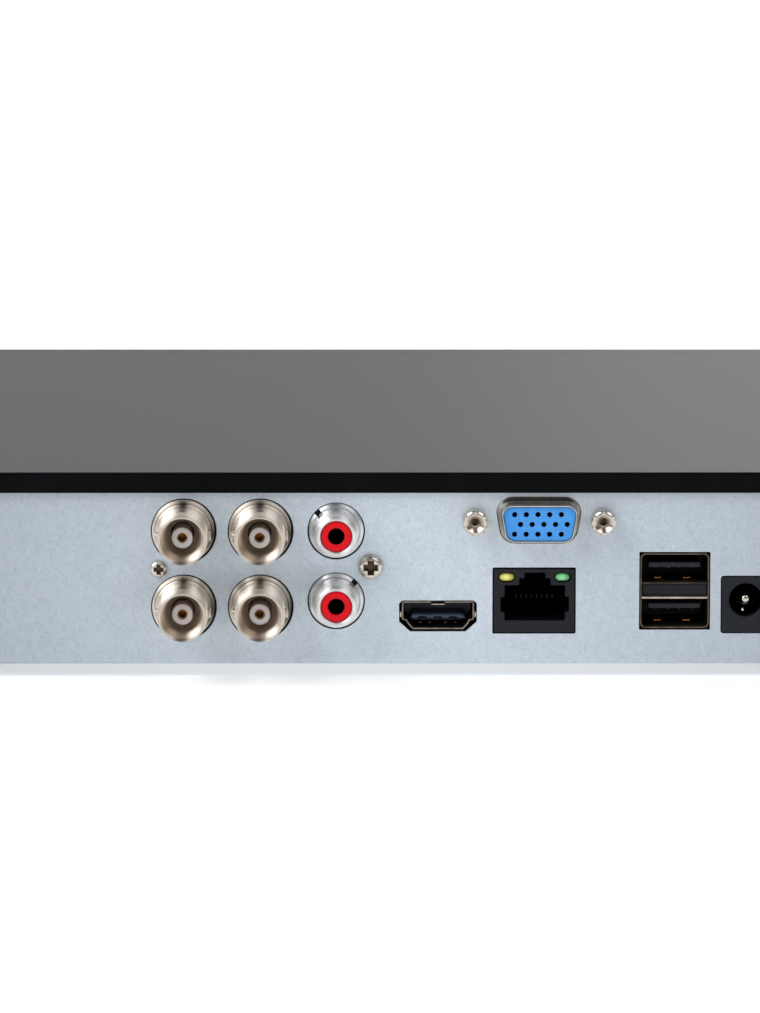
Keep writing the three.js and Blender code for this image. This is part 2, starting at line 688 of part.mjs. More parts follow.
function dcJackHousing() {
  const { u, w, h, depth, holeR, holeV } = DC;
  const v = BOARD.top + GAP + h / 2;
  const stock = outward(roundRect(w, h, 0.5, u, v), -depth, 0.3);
  const barrel = drill(holeR, u, holeV, -10.5, CUT, 10);
  const seat = drill(DC.pinR + GAP, u, holeV, -12, -9, 4);
  return carve(stock, [], [barrel, seat]);
}

function dcJackPin() {
  return turnOut([[0, -11.6], [DC.pinR, -11.6], [DC.pinR, -1.4], [DC.pinR * 0.5, -0.7], [0, -0.7]], 14);
}

function buildDigitalSockets() {
  rear.add(
    piece("hdmi_shell", hdmiShell(), tinplate()),
    piece("hdmi_tongue", hdmiTongue(), blackPlastic()),
    piece("vga_shell", vgaShell(), nickel()),
    piece("vga_insert", vgaInsert(), bluePlastic()),
    piece("rj45_housing", rj45Housing(), blackPlastic()),
    piece("rj45_led_yellow", rj45Led(-1), yellowLens()),
    piece("rj45_led_green", rj45Led(1), greenLens()),
    piece("usb_shell", usbShell(), tinplate()),
    piece("usb_insert", usbInsert(), blackPlastic()),
    piece("dc_jack_housing", dcJackHousing(), blackPlastic()),
  );
  const pin = piece("dc_jack_pin", dcJackPin(), nickel());
  pin.position.set(DC.u, 0, DC.holeV);
  rear.add(pin);
  screwPlaces().forEach((u, i) => {
    const mesh = piece(`vga_jackscrew_${i === 0 ? "left" : "right"}`, vgaJackscrew(), nickel());
    mesh.position.set(u, 0, VGA.v);
    rear.add(mesh);
  });
}

// ---------- main board and what stands on it ----------

function onBoard(u, w, h = 0) {
  return [u, -w, BOARD.top + GAP + h];
}

function mainBoard() {
  const { top, thick, u0, u1, w0, w1 } = BOARD;
  const plate = span([u0, u1], [-w1, -w0], [top - thick, top]);
  const holes = BOARD_POSTS.map(([u, w]) =>
    new THREE.CylinderGeometry(1.6, 1.6, 4, 12).rotateX(Math.PI / 2).translate(u, -w, top - thick / 2),
  );
  return carve(plate, [], holes);
}

function heatsink() {
  const { size, base, h, fins, fin } = HEATSINK;
  const pitch = (size - fin) / (fins - 1);
  const plate = box(size, size, base, 0, 0, base / 2);
  const rows = Array.from({ length: fins }, (_, i) =>
    box(fin, size, h, -size / 2 + fin / 2 + i * pitch, 0, h / 2),
  );
  return carve(plate, rows);
}

// An open ring with a base bar and two clips; the cell drops in from above.
function batteryHolder() {
  const { r, h, lift } = CELL;
  const [outer, inner, top, seat] = [r + 1.6, r + GAP, h + lift, lift - GAP];
  const ring = turnUp([[0, 0], [outer, 0], [outer, top], [inner, top], [inner, seat], [0, seat]], 24);
  const mouth = box(9, 8, h + 1, 0, r + 2, lift + h / 2 + 0.4);
  return carve(ring, [], [mouth]);
}

function coinCell() {
  const { r, h } = CELL;
  return turnUp([[0, 0], [r - 1, 0], [r - 0.8, 0.6], [r, 0.8], [r, h - 0.3], [r - 0.3, h], [0, h]], 20);
}

function sataHeader() {
  const [l, d, h] = SATA.size;
  const slot = box(l - 3, d - 3.4, h, 0, 0, h / 2 + 2);
  const key = box(1.2, 2, h, -l / 2 + 2.6, -1.4, h / 2 + 2);
  return carve(box(l, d, h, 0, 0, h / 2), [], [slot, key]);
}

function resetSwitch() {
  const { size, h, well, capR } = RESET;
  const can = box(size, size, h, 0, 0, h / 2);
  const r = capR + GAP;
  const bore = turnUp([[0, well], [r, well], [r, h + CUT], [0, h + CUT]], 20);
  return carve(can, [], [bore]);
}

// The pressed cap: it rides in the well with room below it for its travel.
function resetButton() {
  const { h, well, capR, capH, travel } = RESET;
  const low = well + travel + 0.1;
  const top = h + capH;
  return turnUp([[0, low], [capR, low], [capR, top - 0.3], [capR - 0.3, top], [0, top]], 20);
}

function buildBoard() {
  rear.add(piece("main_board", mainBoard(), boardGreen()));
  const soc = piece("soc", box(SOC.size, SOC.size, SOC.h, 0, 0, SOC.h / 2), chipBlack());
  soc.position.set(...onBoard(SOC.u, SOC.w));
  const fins = piece("heatsink", heatsink(), anodised());
  fins.position.set(...onBoard(SOC.u, SOC.w, SOC.h + GAP));
  const holder = piece("battery_holder", batteryHolder(), chipBlack());
  holder.position.set(...onBoard(CELL.u, CELL.w));
  const cell = piece("coin_cell", coinCell(), tinplate());
  cell.position.set(...onBoard(CELL.u, CELL.w, CELL.lift));
  const header = piece("sata_header", sataHeader(), whiteNylon());
  header.position.set(...onBoard(SATA.u, SATA.w));
  const can = piece("reset_switch", resetSwitch(), tinplate());
  const cap = piece("reset_button", resetButton(), chipBlack());
  [can, cap].forEach((mesh) => mesh.position.set(...onBoard(RESET.u, RESET.w)));
  rear.add(soc, fins, holder, cell, header, can, cap);
}

// ---------- hard drive ----------

// The cast base: chamber open at the top, spindle and pivot posts on its floor, board recess below.
function hddBase() {
  const { l, w } = HDD;
  const { wall, floor, end } = CHAMBER;
  const stock = raise(roundRect(l, w, 2.5, l / 2, w / 2), 0, DRIVE_LIP);
  const bay = roundRect(end - wall, w - 2 * wall, 12, (end + wall) / 2, w / 2);
  const chamber = raise(bay, floor, DRIVE_LIP + CUT, 5);
  const platterWell = raise(disc(PLATTER.r + 1.2, PLATTER.x, PLATTER.y), floor, DRIVE_LIP + CUT, 24);
  const recess = span([8, 100], [6, w - 6], [-CUT, HDD.recess]);
  const socket = span([l - DRIVE_SOCKET.depth, l + CUT], DRIVE_SOCKET.y, DRIVE_SOCKET.z);
  const { z, t, hubR, spindleR } = PLATTER;
  const spindle = post(floor - 1, hubR - 5, z - 1, spindleR, z + t + 1);
  const pivot = post(floor - 1, ARM.bossR - 1, armZ() - ARM.bossDrop - GAP, ARM.pinR, armZ() + ARM.bossRise);
  spindle.translate(PLATTER.x, PLATTER.y, 0);
  pivot.translate(ARM.x, ARM.y, 0);
  const hollowed = carve(stock, [], [chamber, platterWell, recess, socket]);
  return carve(hollowed, [spindle, pivot]);
}

// A stepped post: a wide foot up to its shoulder, then a pin.
function post(low, footR, shoulder, pinR, top) {
  const foot = [[0, low], [footR, low], [footR, shoulder]];
  return turnUp([...foot, [pinR, shoulder], [pinR, top], [0, top]], 20);
}

function armZ() {
  return PLATTER.z + PLATTER.t + 0.9;
}

function hddCover() {
  const { l, w, h, lidT } = HDD;
  const low = DRIVE_LIP + GAP;
  const plate = raise(roundRect(l - 2, w - 2, 2, l / 2, w / 2), low, low + lidT, 3);
  const dome = raise(roundRect(96, 94, 40, PLATTER.x, PLATTER.y), low + lidT - 0.2, h - 0.4, 8);
  const bay = raise(roundRect(92, 90, 38, PLATTER.x, PLATTER.y), low - CUT, h - 0.4 - lidT, 8);
  return carve(plate, [dome], [bay]);
}

// The disc and its clamp hub turn together on the spindle.
function hddPlatter() {
  const { r, t, z, hubR, hubH, spindleR } = PLATTER;
  const [inner, low, top] = [spindleR + GAP, z - 0.6, z + t + hubH];
  const disk = [[hubR, low], [hubR, z], [r, z], [r, z + t], [hubR, z + t]];
  const clamp = [[hubR - 0.6, top], [2, top], [2, top - 1], [inner, top - 1]];
  return turnUp([[inner, low], ...disk, ...clamp, [inner, low]], 36);
}

// The head arm over the disc, its boss on the pivot and the coil paddle behind; its frame is the pivot.
function hddActuator() {
  const { length, t, bossR, pinR, restDeg } = ARM;
  const [root, waist, tip] = [[4, 5.5], [length * 0.55, 2.6], [length, 1]];
  const blade = [...[root, waist, tip].map(([x, y]) => [x, -y]), tip, waist, root];
  const arm = raise(outline(blade), 0, t);
  const boss = raise(disc(bossR), -ARM.bossDrop, ARM.bossRise, 8);
  const coil = raise(outline([[-3, -4], [-3, 4], [-17, 9], [-19, 5], [-19, -5], [-17, -9]]), 0, 2.2);
  const window = raise(outline([[-10, -2.5], [-10, 2.5], [-15.5, 5], [-15.5, -5]]), -CUT, 4);
  const slider = box(2.4, 1.8, 0.4, length - 1.4, 0, -0.15);
  const bore = raise(disc(pinR + GAP), -4, 6, 8);
  const made = carve(arm, [boss, coil, slider], [window, bore]);
  return made.rotateZ((restDeg * Math.PI) / 180);
}

function hddBoard() {
  const plate = span([9, 99], [8, HDD.w - 8], [0.2, 1.4]);
  const chips = [[30, 40, 14], [60, 60, 10], [75, 30, 8]].map(([x, y, s]) => box(s, s, 0.6, x, y, 1.6));
  return carve(plate, chips);
}

function buildDrive() {
  const arm = piece("hdd_actuator", hddActuator(), castAluminium());
  arm.position.set(ARM.x, ARM.y, armZ());
  const disk = piece("hdd_platter", hddPlatter(), polishedDisc());
  disk.position.set(PLATTER.x, PLATTER.y, 0);
  drive.add(
    piece("hdd_base", hddBase(), castAluminium()),
    piece("hdd_cover", hddCover(), tinplate()),
    piece("hdd_board", hddBoard(), boardGreen()),
    disk,
    arm,
  );
}

// ---------- drive cable ----------

// A flat cable from a plug in the drive's end, in a loop beside the drive, to a plug on the board header.
function driveCable() {
  const [headerL, headerD, headerH] = SATA.size;
  const [y0, y1] = DRIVE_SOCKET.y.map((y) => HDD.y0 + y);
  const [z0, z1] = DRIVE_SOCKET.z.map((z) => FOOT_H + HDD.z0 + z);
  const end = HDD.x0 + HDD.l;
  const tongue = span([end - 5, end + 2], [y0 + 1, y1 - 1], [z0 + 0.5, z1 - 0.5]);
  const grip = span([end + GAP, end + 9], [y0 - 1, y1 + 1], [z0 - 1.5, z1 + 1.5]);
  const top = new THREE.Vector3(-SATA.u, REAR_Y + SATA.w, FOOT_H + BOARD.top + GAP + headerH + GAP);
  const plug = box(headerL - 1, headerD - 1, 7, top.x, top.y, top.z + 3.5);
  const exit = new THREE.Vector3(end + 7, (y0 + y1) / 2, (z0 + z1) / 2);
  const route = new THREE.CatmullRomCurve3([
    exit,
    new THREE.Vector3(exit.x + 8, exit.y + 1, exit.z),
    new THREE.Vector3(exit.x + 17, exit.y + 16, exit.z + 3),
    new THREE.Vector3(exit.x + 18, exit.y + 46, exit.z + 9),
    new THREE.Vector3(exit.x + 8, exit.y + 78, exit.z + 15),
    new THREE.Vector3(top.x + 8, top.y - 4, top.z + 13),
    new THREE.Vector3(top.x, top.y, top.z + 10),
    new THREE.Vector3(top.x, top.y, top.z + 5),
  ]);
  const options = { steps: 32, bevelEnabled: false, extrudePath: route, curveSegments: 1 };
  const ribbon = new THREE.ExtrudeGeometry(roundRect(1.6, 7, 0.6), options);
  return carve(ribbon, [tongue, grip, plug]);
}

buildCase();
buildAvSockets();
buildDigitalSockets();
buildBoard();
buildDrive();
recorder.add(piece("sata_cable", driveCable(), redJacket()));

export default recorder;
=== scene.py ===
"""The looks of a four-channel digital video recorder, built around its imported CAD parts.

Sizes are in millimetres until a piece is made, and its mesh is in metres. Sockets are laid out as
seen from behind the recorder: u runs to the right, v up from the case's underside, and w out from
the rear panel. Everything else is in the CAD's own axes.
"""

import math
import random

import bmesh
import bpy
from mathutils import Matrix, Vector


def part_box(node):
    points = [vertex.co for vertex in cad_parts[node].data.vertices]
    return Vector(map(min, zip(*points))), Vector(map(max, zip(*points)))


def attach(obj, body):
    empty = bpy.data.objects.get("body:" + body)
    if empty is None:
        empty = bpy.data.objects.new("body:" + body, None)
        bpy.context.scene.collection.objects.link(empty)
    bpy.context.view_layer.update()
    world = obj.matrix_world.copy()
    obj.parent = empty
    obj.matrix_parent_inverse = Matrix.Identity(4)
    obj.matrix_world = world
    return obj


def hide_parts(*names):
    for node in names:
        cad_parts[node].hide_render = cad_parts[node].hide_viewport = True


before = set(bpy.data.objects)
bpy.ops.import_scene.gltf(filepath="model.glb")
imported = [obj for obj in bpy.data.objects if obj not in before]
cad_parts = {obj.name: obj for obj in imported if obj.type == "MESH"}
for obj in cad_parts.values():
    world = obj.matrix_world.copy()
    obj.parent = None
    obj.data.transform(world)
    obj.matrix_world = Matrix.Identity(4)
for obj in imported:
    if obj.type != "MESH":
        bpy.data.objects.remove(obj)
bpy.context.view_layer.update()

MM = 0.001
ROUND = 96  # points round a turned part
SHARP = 32  # degrees: where a bend shows as an edge
RECORDER = "recorder"

# ---------- places, read from the frame ----------


def corners(node):
    """Lowest and highest corner of a CAD node, in millimetres."""
    low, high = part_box(node)
    return low / MM, high / MM


TRAY_LOW, TRAY_HIGH = corners("base_tray")
COVER_LOW, COVER_HIGH = corners("top_cover")
BOARD_LOW, BOARD_HIGH = corners("main_board")
PANEL_Y = TRAY_HIGH.y
CASE_Z = TRAY_LOW.z
SHEET = 0.8  # the thickness of the tray and the cover


def behind(u, w, v):
    """A point given as seen from behind, in the CAD's axes."""
    return Vector((-u, PANEL_Y + w, CASE_Z + v))


def seat(node):
    """Where a CAD node's box has its middle, as seen from behind: (u, v)."""
    low, high = corners(node)
    return -(low.x + high.x) / 2, (low.z + high.z) / 2 - CASE_Z


def reach(node):
    """How far a CAD node runs in and out of the panel: (w at the back, w at the front)."""
    low, high = corners(node)
    return low.y - PANEL_Y, high.y - PANEL_Y


def size(node):
    low, high = corners(node)
    return high - low


# ---------- outlines and solids ----------


def soften(line, reach_back, steps=3, closed=False):
    """A line of 2D points with its corners turned into short curves."""
    made = []
    for i, corner in enumerate(line):
        if not closed and i in (0, len(line) - 1):
            made.append(tuple(corner))
            continue
        p = Vector(corner)
        before = Vector(line[i - 1]) - p
        after = Vector(line[(i + 1) % len(line)]) - p
        far = min(reach_back, before.length * 0.48, after.length * 0.48)
        a = p + before.normalized() * far
        b = p + after.normalized() * far
        for k in range(steps + 1):
            t = k / steps
            q = a * (1 - t) ** 2 + p * 2 * t * (1 - t) + b * t * t
            made.append((q.x, q.y))
    return made


def circle(r, u=0.0, v=0.0, count=ROUND):
    turn = 2 * math.pi / count
    return [(u + r * math.cos(i * turn), v + r * math.sin(i * turn)) for i in range(count)]


def outline(points, radius, grow=0.0, steps=5):
    """An anticlockwise outline moved out by grow, its corners rounded to the radius."""
    made = []
    for i, corner in enumerate(points):
        p = Vector(corner)
        into = (p - Vector(points[i - 1])).normalized()
        out = (Vector(points[(i + 1) % len(points)]) - p).normalized()
        n_in, n_out = Vector((into.y, -into.x)), Vector((out.y, -out.x))
        p = p + (n_in + n_out) * grow / (1 + n_in.dot(n_out))
        bend = math.atan2(into.cross(out), into.dot(out))
        side = 1 if bend > 0 else -1
        r = max(radius + side * grow, 0.02)
        start = p - into * r * math.tan(abs(bend) / 2)
        centre = start - n_in * side * r
        first = math.atan2(n_in.y * side, n_in.x * side)
        for k in range(steps + 1):
            a = first + bend * k / steps
            made.append((centre.x + r * math.cos(a), centre.y + r * math.sin(a)))
    return made


def oval(w, h, u=0.0, v=0.0):
    """An ellipse, filled out a little towards its corners."""
    def bulge(t):
        return math.copysign(abs(t) ** 0.8, t)
    return [(u + w / 2 * bulge(c), v + h / 2 * bulge(s)) for c, s in circle(1.0, count=48)]


def rectangle(w, h, u=0.0, v=0.0):
    return [(u + a * w / 2, v + b * h / 2) for a, b in ((-1, -1), (1, -1), (1, 1), (-1, 1))]


def from_axis(p, u, v):
    """How far a point is from an axis that stands out of the panel."""
    return math.hypot(p.x + u, p.z - CASE_Z - v)


def skin(rings, tube=False):
    """A closed surface through rings of points. Its ends are capped, or in a tube they meet."""
    bm = bmesh.new()
    loops = [[bm.verts.new(p) for p in ring] for ring in rings]
    pairs = list(zip(loops, loops[1:]))
    if tube:
        pairs.append((loops[-1], loops[0]))
    else:
        bm.faces.new(loops[0])
        bm.faces.new(loops[-1])
    for a, b in pairs:
        for i in range(len(a)):
            j = (i + 1) % len(a)
            bm.faces.new((a[i], a[j], b[j], b[i]))
    bmesh.ops.recalc_face_normals(bm, faces=bm.faces)
    return bm


def outward(rings, tube=False):
    """A solid from (outline, w) pairs, seen from behind."""
    return skin([[behind(u, w, v) for u, v in line] for line, w in rings], tube)


def turned(place, profile, tube=True, count=ROUND):
    """A solid turned about an axis that stands out of the panel, from a profile of (radius, w)."""
    return outward([(circle(r, *place, count), w) for r, w in profile], tube)


def upright(x, y, profile, count=ROUND):
    """A solid turned about a vertical axis, from a profile of (radius, z)."""
    return skin([[Vector((a, b, z)) for a, b in circle(r, x, y, count)] for r, z in profile])


def soft_ends(low, high, edge, steps=2):
    """(grow, height) pairs of an extrusion whose two end faces have rounded edges."""
    turns = [math.pi / 2 * k / steps for k in range(steps + 1)]
    lower = [(edge * (math.sin(a) - 1), low + edge * (1 - math.cos(a))) for a in turns]
    return lower + [(grow, low + high - h) for grow, h in reversed(lower)]


def slab(low, high, edge=0.15, corner=None):
    """A block between two corners, in the CAD's axes, with soft edges and rounded upright corners."""
    low, high = Vector(low), Vector(high)
    middle, wide = (low + high) / 2, high - low
    plan = rectangle(wide.x, wide.y, middle.x, middle.y)
    radius = edge if corner is None else corner
    ends = soft_ends(low.z, high.z, min(edge, wide.z * 0.45))
    steps = 3 if radius < 1 else 6
    return skin([[Vector((x, y, z)) for x, y in outline(plan, radius, g, steps)] for g, z in ends])


def span(middle, half):
    return middle - half, middle + half


def block(u, v, w, edge=0.12):
    """A slab given by its (low, high) extents as seen from behind."""
    a, b = behind(u[0], w[0], v[0]), behind(u[1], w[1], v[1])
    return slab(map(min, a, b), map(max, a, b), edge)


def mesh_of(name, bm):
    mesh = bpy.data.meshes.new(name)
    bm.to_mesh(mesh)
    bm.free()
    return mesh


def put(name, data):
    """A new object in the scene."""
    made = bpy.data.objects.new(name, data)
    bpy.context.scene.collection.objects.link(made)
    return made


def joined(*parts):
    """Several solids in one mesh, each still closed."""
    whole = bmesh.new()
    for bm in parts:
        scratch = mesh_of("scratch", bm)
        whole.from_mesh(scratch)
        bpy.data.meshes.remove(scratch)
    return whole


def carve(stock, tools, mode="DIFFERENCE"):
    """The stock with every tool cut from it, or joined onto it."""
    body, tool = (put("scratch", mesh_of("scratch", bm)) for bm in (stock, joined(*tools)))
    step = body.modifiers.new("carve", "BOOLEAN")
    step.operation, step.solver, step.object = mode, "EXACT", tool
    step.use_self = True
    view = bpy.context.evaluated_depsgraph_get()
    mesh = bpy.data.meshes.new_from_object(body.evaluated_get(view))
    made = bmesh.new()
    made.from_mesh(mesh)
    for data in (body.data, tool.data, mesh):
        bpy.data.meshes.remove(data)
    bmesh.ops.remove_doubles(made, verts=made.verts, dist=1e-4)
    bmesh.ops.dissolve_degenerate(made, dist=1e-4, edges=made.edges)
    return made


def wire(points, radius, steps=8, sides=10):
    """A round wire along a smooth line through the points, in the CAD's axes."""
    line = []
    padded = [points[0], *points, points[-1]]
    for a, b, c, d in zip(padded, padded[1:], padded[2:], padded[3:]):
        for k in range(steps):
            t = k / steps
            line.append(0.5 * (2 * b + (c - a) * t + (2 * a - 5 * b + 4 * c - d) * t**2
                               + (3 * b - a - 3 * c + d) * t**3))
    line.append(points[-1])
    rings, normal = [], None
    for i, p in enumerate(line):
        along = (line[min(i + 1, len(line) - 1)] - line[max(i - 1, 0)]).normalized()
        if normal is None:
            normal = along.orthogonal().normalized()
        normal = (normal - along * normal.dot(along)).normalized()
        across = along.cross(normal)
        rings.append([p + (normal * x + across * y) for x, y in circle(radius, count=sides)])
    return skin(rings)


# ---------- finishes ----------

PAINTED_PANEL_SHEEN = behind(5, 0, 18)  # the middle of a painted sheen, where the rear panel is brightest


def rgb(red, green, blue):
    """A display colour, 0 to 255, as the linear colour that shaders take."""
    linear = [((c / 255 + 0.055) / 1.055) ** 2.4 if c > 10 else c / 255 / 12.92 for c in (red, green, blue)]
    return (*linear, 1.0)


class Finish:
    """A node material. Its patterns are in the object's own space, so they have real sizes."""

    def __init__(self, name, slot, **sockets):
        self.slot = slot
        self.material = bpy.data.materials.new(name)
        self.material.use_nodes = True
        self.tree = self.material.node_tree
        self.shader = self.tree.nodes["Principled BSDF"]
        self.fill(self.shader, sockets)
        self.place = self.node("TexCoord", "Object")

    def fill(self, node, sockets):
        """Gives a node's inputs their values, or wires them to other nodes' outputs."""
        for label, value in sockets.items():
            socket = node.inputs[label.replace("_", " ")]
            if isinstance(value, bpy.types.NodeSocket):
                self.tree.links.new(value, socket)
            else:
                socket.default_value = value

    def node(self, kind, output, settings=(), **sockets):
        """The named output of a new node."""
        made = self.tree.nodes.new("ShaderNode" + kind)
        for key, value in settings:
            setattr(made, key, value)
        self.fill(made, sockets)
        return made.outputs[output]

    def noise(self, grain, detail=3.0, rough=0.55, stretch=None):
        """Soft noise whose blotches are about grain millimetres wide, 0 to 1."""
        place = self.node("Mapping", "Vector", Vector=self.place, Scale=stretch) if stretch else self.place
        scale = 1 / (grain * MM)
        return self.node("TexNoise", "Fac", Vector=place, Scale=scale, Detail=detail, Roughness=rough)

    def cells(self, grain, output="Color"):
        """Crystals about grain millimetres wide, each with a value of its own."""
        return self.node("TexVoronoi", output, Vector=self.place, Scale=1 / (grain * MM))

    def rings(self, pitch):
        """Turning marks round an axis through the piece's origin."""
        kind = (("wave_type", "RINGS"), ("rings_direction", "Y"))
        scale = 1 / (pitch * MM) / 20  # a wave texture runs through 20 radians in a unit
        return self.node("TexWave", "Fac", kind, Vector=self.place, Scale=scale, Distortion=0.4)

    def patch(self, middle, radius):
        """A soft round patch: 1 in its middle, 0 at its radius, in millimetres."""
        place = self.node("Mapping", "Vector", [("vector_type", "TEXTURE")], Vector=self.place,
                          Location=Vector(middle) * MM, Scale=(radius * MM,) * 3)
        return self.node("TexGradient", "Fac", [("gradient_type", "SPHERICAL")], Vector=place)

    def grooved(self, amount):
        """Grooves round the piece's axis, which draw every highlight out along them."""
        along = self.node("Tangent", "Tangent", (("direction_type", "RADIAL"), ("axis", "Y")))
        self.fill(self.shader, {"Tangent": along, "Anisotropic": amount, "Anisotropic Rotation": 0.25})

    def level(self, source, low, high):
        """A value of 0 to 1, stretched to run from low to high."""
        return self.node("MapRange", "Result", Value=source, To_Min=low, To_Max=high)

    def shades(self, source, *stops):
        """A colour ramp from (position, colour) stops."""
        made = self.tree.nodes.new("ShaderNodeValToRGB")
        for element, (position, colour) in zip(made.color_ramp.elements, stops, strict=True):
            element.position, element.color = position, rgb(*colour)
        self.fill(made, {"Fac": source})
        return made.outputs["Color"]

    def mix(self, factor, a, b, blend="MIX"):
        """Two colours mixed."""
        made = self.tree.nodes.new("ShaderNodeMix")
        made.data_type, made.blend_type = "RGBA", blend
        made.inputs["Factor"].default_value = factor
        for source, socket in zip((a, b), [s for s in made.inputs if s.type == "RGBA"]):
            self.tree.links.new(source, socket)
        return next(o for o in made.outputs if o.type == "RGBA")

    def add(self, *sources):
        total = sources[0]
        for source in sources[1:]:
            made = self.tree.nodes.new("ShaderNodeMath")
            self.tree.links.new(total, made.inputs[0])
            self.tree.links.new(source, made.inputs[1])
            total = made.outputs[0]
        return total

    def colour(self, output):
        self.fill(self.shader, {"Base Color": output})

    def rough(self, output):
        self.fill(self.shader, {"Roughness": output})

    def bump(self, source, depth, strength):
        """Relief of the given depth in millimetres."""
        relief = self.node("Bump", "Normal", Height=source, Distance=depth * MM, Strength=strength)
        self.fill(self.shader, {"Normal": relief})


def grained(name, blotch, dark, light, gloss, relief=None, slot=None, stops=(0.3, 0.7), **sockets):
    """A finish from soft noises.

    blotch is the (grain, detail) of its two colours. gloss is a noise, then the lowest and highest
    roughness. relief is a noise, then a bump's depth and strength.
    """
    f = Finish(name, slot or name, **sockets)
    f.colour(f.shades(f.noise(*blotch), (stops[0], dark), (stops[1], light)))
    f.rough(f.level(f.noise(*gloss[0]), *gloss[1:]))
    if relief:
        f.bump(f.noise(*relief[0]), *relief[1:])
    return f


def galvanised_steel():
    """Zinc-coated sheet: small crystals, fine specks, soft cloudy patches, and a painted sheen that is
    lightest near the panel's middle.
    """
    f = Finish("galvanised_steel", "galvanised_steel", Metallic=0.5)
    crystals = f.shades(f.cells(1.1), (0.0, (198, 209, 219)), (1.0, (208, 218, 227)))
    specks = f.shades(f.noise(0.5, 5, 0.7), (0.33, (165, 178, 194)), (0.5, (255, 255, 255)))
    # painted sheen: lighter round the panel's middle, fading out over 120 mm
    sheen = f.shades(f.patch(PAINTED_PANEL_SHEEN, 120), (0.0, (196, 197, 200)), (0.85, (255, 255, 255)))
    f.colour(f.mix(1.0, f.mix(0.3, crystals, specks, "MULTIPLY"), sheen, "MULTIPLY"))
    f.rough(f.level(f.noise(1.1, 3), 0.38, 0.52))
    f.bump(f.noise(0.5, 3), 0.015, 0.25)
    return f


def black_paint(name, slot):
    """Powder coat: a fine orange peel over near-black."""
    peel = (0.45, 3, 0.6)
    return grained(name, (6, 3), (5, 7, 10), (9, 11, 14), (peel, 0.32, 0.46), (peel, 0.03, 0.3), slot,
                   (0.3, 0.75), Specular_IOR_Level=0.045)


def black_plastic(name, tint=(24, 26, 32), shine=0.5, grain=0.35, shine_level=0.2, slot="black_plastic"):
    """Moulded plastic with a fine spark-eroded grain."""
    sparks = (grain, 4, 0.6)
    light = [c + 5 for c in tint]
    gloss = (sparks, shine - 0.07, shine + 0.1)
    return grained(name, (2.5, 3), tint, light, gloss, (sparks, 0.02, 0.3), slot,
                   Specular_IOR_Level=shine_level)


def coloured_plastic(name, tint, shade, shine, slot=None, **sockets):
    """A moulding, a little darker in its hollows and flow marks."""
    flow = (0.5, 3)
    gloss = (flow, shine - 0.08, shine + 0.1)
    return grained(name, (1.8, 4), shade, tint, gloss, (flow, 0.01, 0.25), slot, (0.25, 0.75),
                   Specular_IOR_Level=0.2, **sockets)


def metal(name, slot, blotch, dark, light, gloss, relief=None):
    return grained(name, blotch, dark, light, gloss, relief, slot, Metallic=1.0)


def drawn_steel(name, light, dark, shine):
    """Stamped, tinned steel: drawn along its length, slightly stained."""
    drawn = (0.25, 3, 0.6, (1, 0.12, 1))
    gloss = (drawn, shine - 0.08, shine + 0.14)
    return metal(name, "tin_shell", (1.6, 4), dark, light, gloss, (drawn, 0.01, 0.3))


def smooth_nickel(name, light, dark, shine):
    """Bright plated metal with handling smudges."""
    return metal(name, "nickel_plate", (2.2, 4), dark, light, ((1.2, 4), shine - 0.06, shine + 0.08),
                 ((0.4, 3), 0.004, 0.3))


def turned_nickel(name, light=(242, 233, 222), dark=(218, 208, 196), shine=0.54, grooves=1.0):
    """Plated metal with turning grooves."""
    f = Finish(name, "nickel_plate", Metallic=1.0)
    f.colour(f.shades(f.noise(2.2, 4), (0.3, dark), (0.7, light)))
    f.grooved(grooves)
    smudge = f.level(f.noise(1.2, 4), shine - 0.06, shine + 0.08)
    f.rough(f.add(smudge, f.level(f.rings(0.2), 0, 0.03)))
    f.bump(f.rings(0.2), 0.002, 0.3)
    return f


def painted_light_nickel(name, patches, *stops):
    """Turned nickel with painted light and shade that follow soft patches, given as (middle, radius)."""
    f = turned_nickel(name)
    spread = [f.patch(middle, radius) for middle, radius in patches]
    f.colour(f.shades(f.add(*spread, f.level(f.noise(1.5, 4), -0.08, 0.08)), *stops))
    return f


def bronze(name, dark, light):
    return metal(name, "contact_bronze", (0.6, 4), dark, light, ((0.4, 3), 0.2, 0.4))


def lens(name, tint, shade):
    """A tinted light window with a painted glow: lighter in its middle and darker towards its edge."""
    f = Finish(name, name, Subsurface_Weight=0.35, Subsurface_Scale=0.0015, Coat_Weight=0.6)
    f.shader.inputs["Subsurface Radius"].default_value = (1.0, 1.0, 0.5)
    # painted glow: lighter round the lens's middle
    cloud = f.mix(0.25, f.patch((0.2, 0, 0.1), 1.7), f.noise(0.9, 2))
    f.colour(f.shades(cloud, (0.15, shade), (0.75, tint)))
    f.rough(f.level(f.noise(0.5, 2), 0.1, 0.25))
    return f


def circuit_board():
    """Solder mask over copper: traces run in two directions, with vias between them."""
    f = Finish("circuit_board", "circuit_board", Specular_IOR_Level=0.5)
    traces = f.node("TexBrick", "Color", [("offset", 0.37)], Vector=f.place, Scale=1 / (5 * MM),
                    Mortar_Size=0.045, Color1=rgb(18, 78, 48), Color2=rgb(22, 88, 54),
                    Mortar=rgb(44, 122, 74))
    vias = f.shades(f.cells(2.4, "Distance"), (0.06, (196, 188, 150)), (0.09, (255, 255, 255)))
    f.colour(f.mix(1.0, traces, vias, "MULTIPLY"))
    f.rough(f.level(f.noise(1, 3), 0.3, 0.48))
    f.bump(traces.node.outputs["Fac"], 0.04, 0.4)
    return f


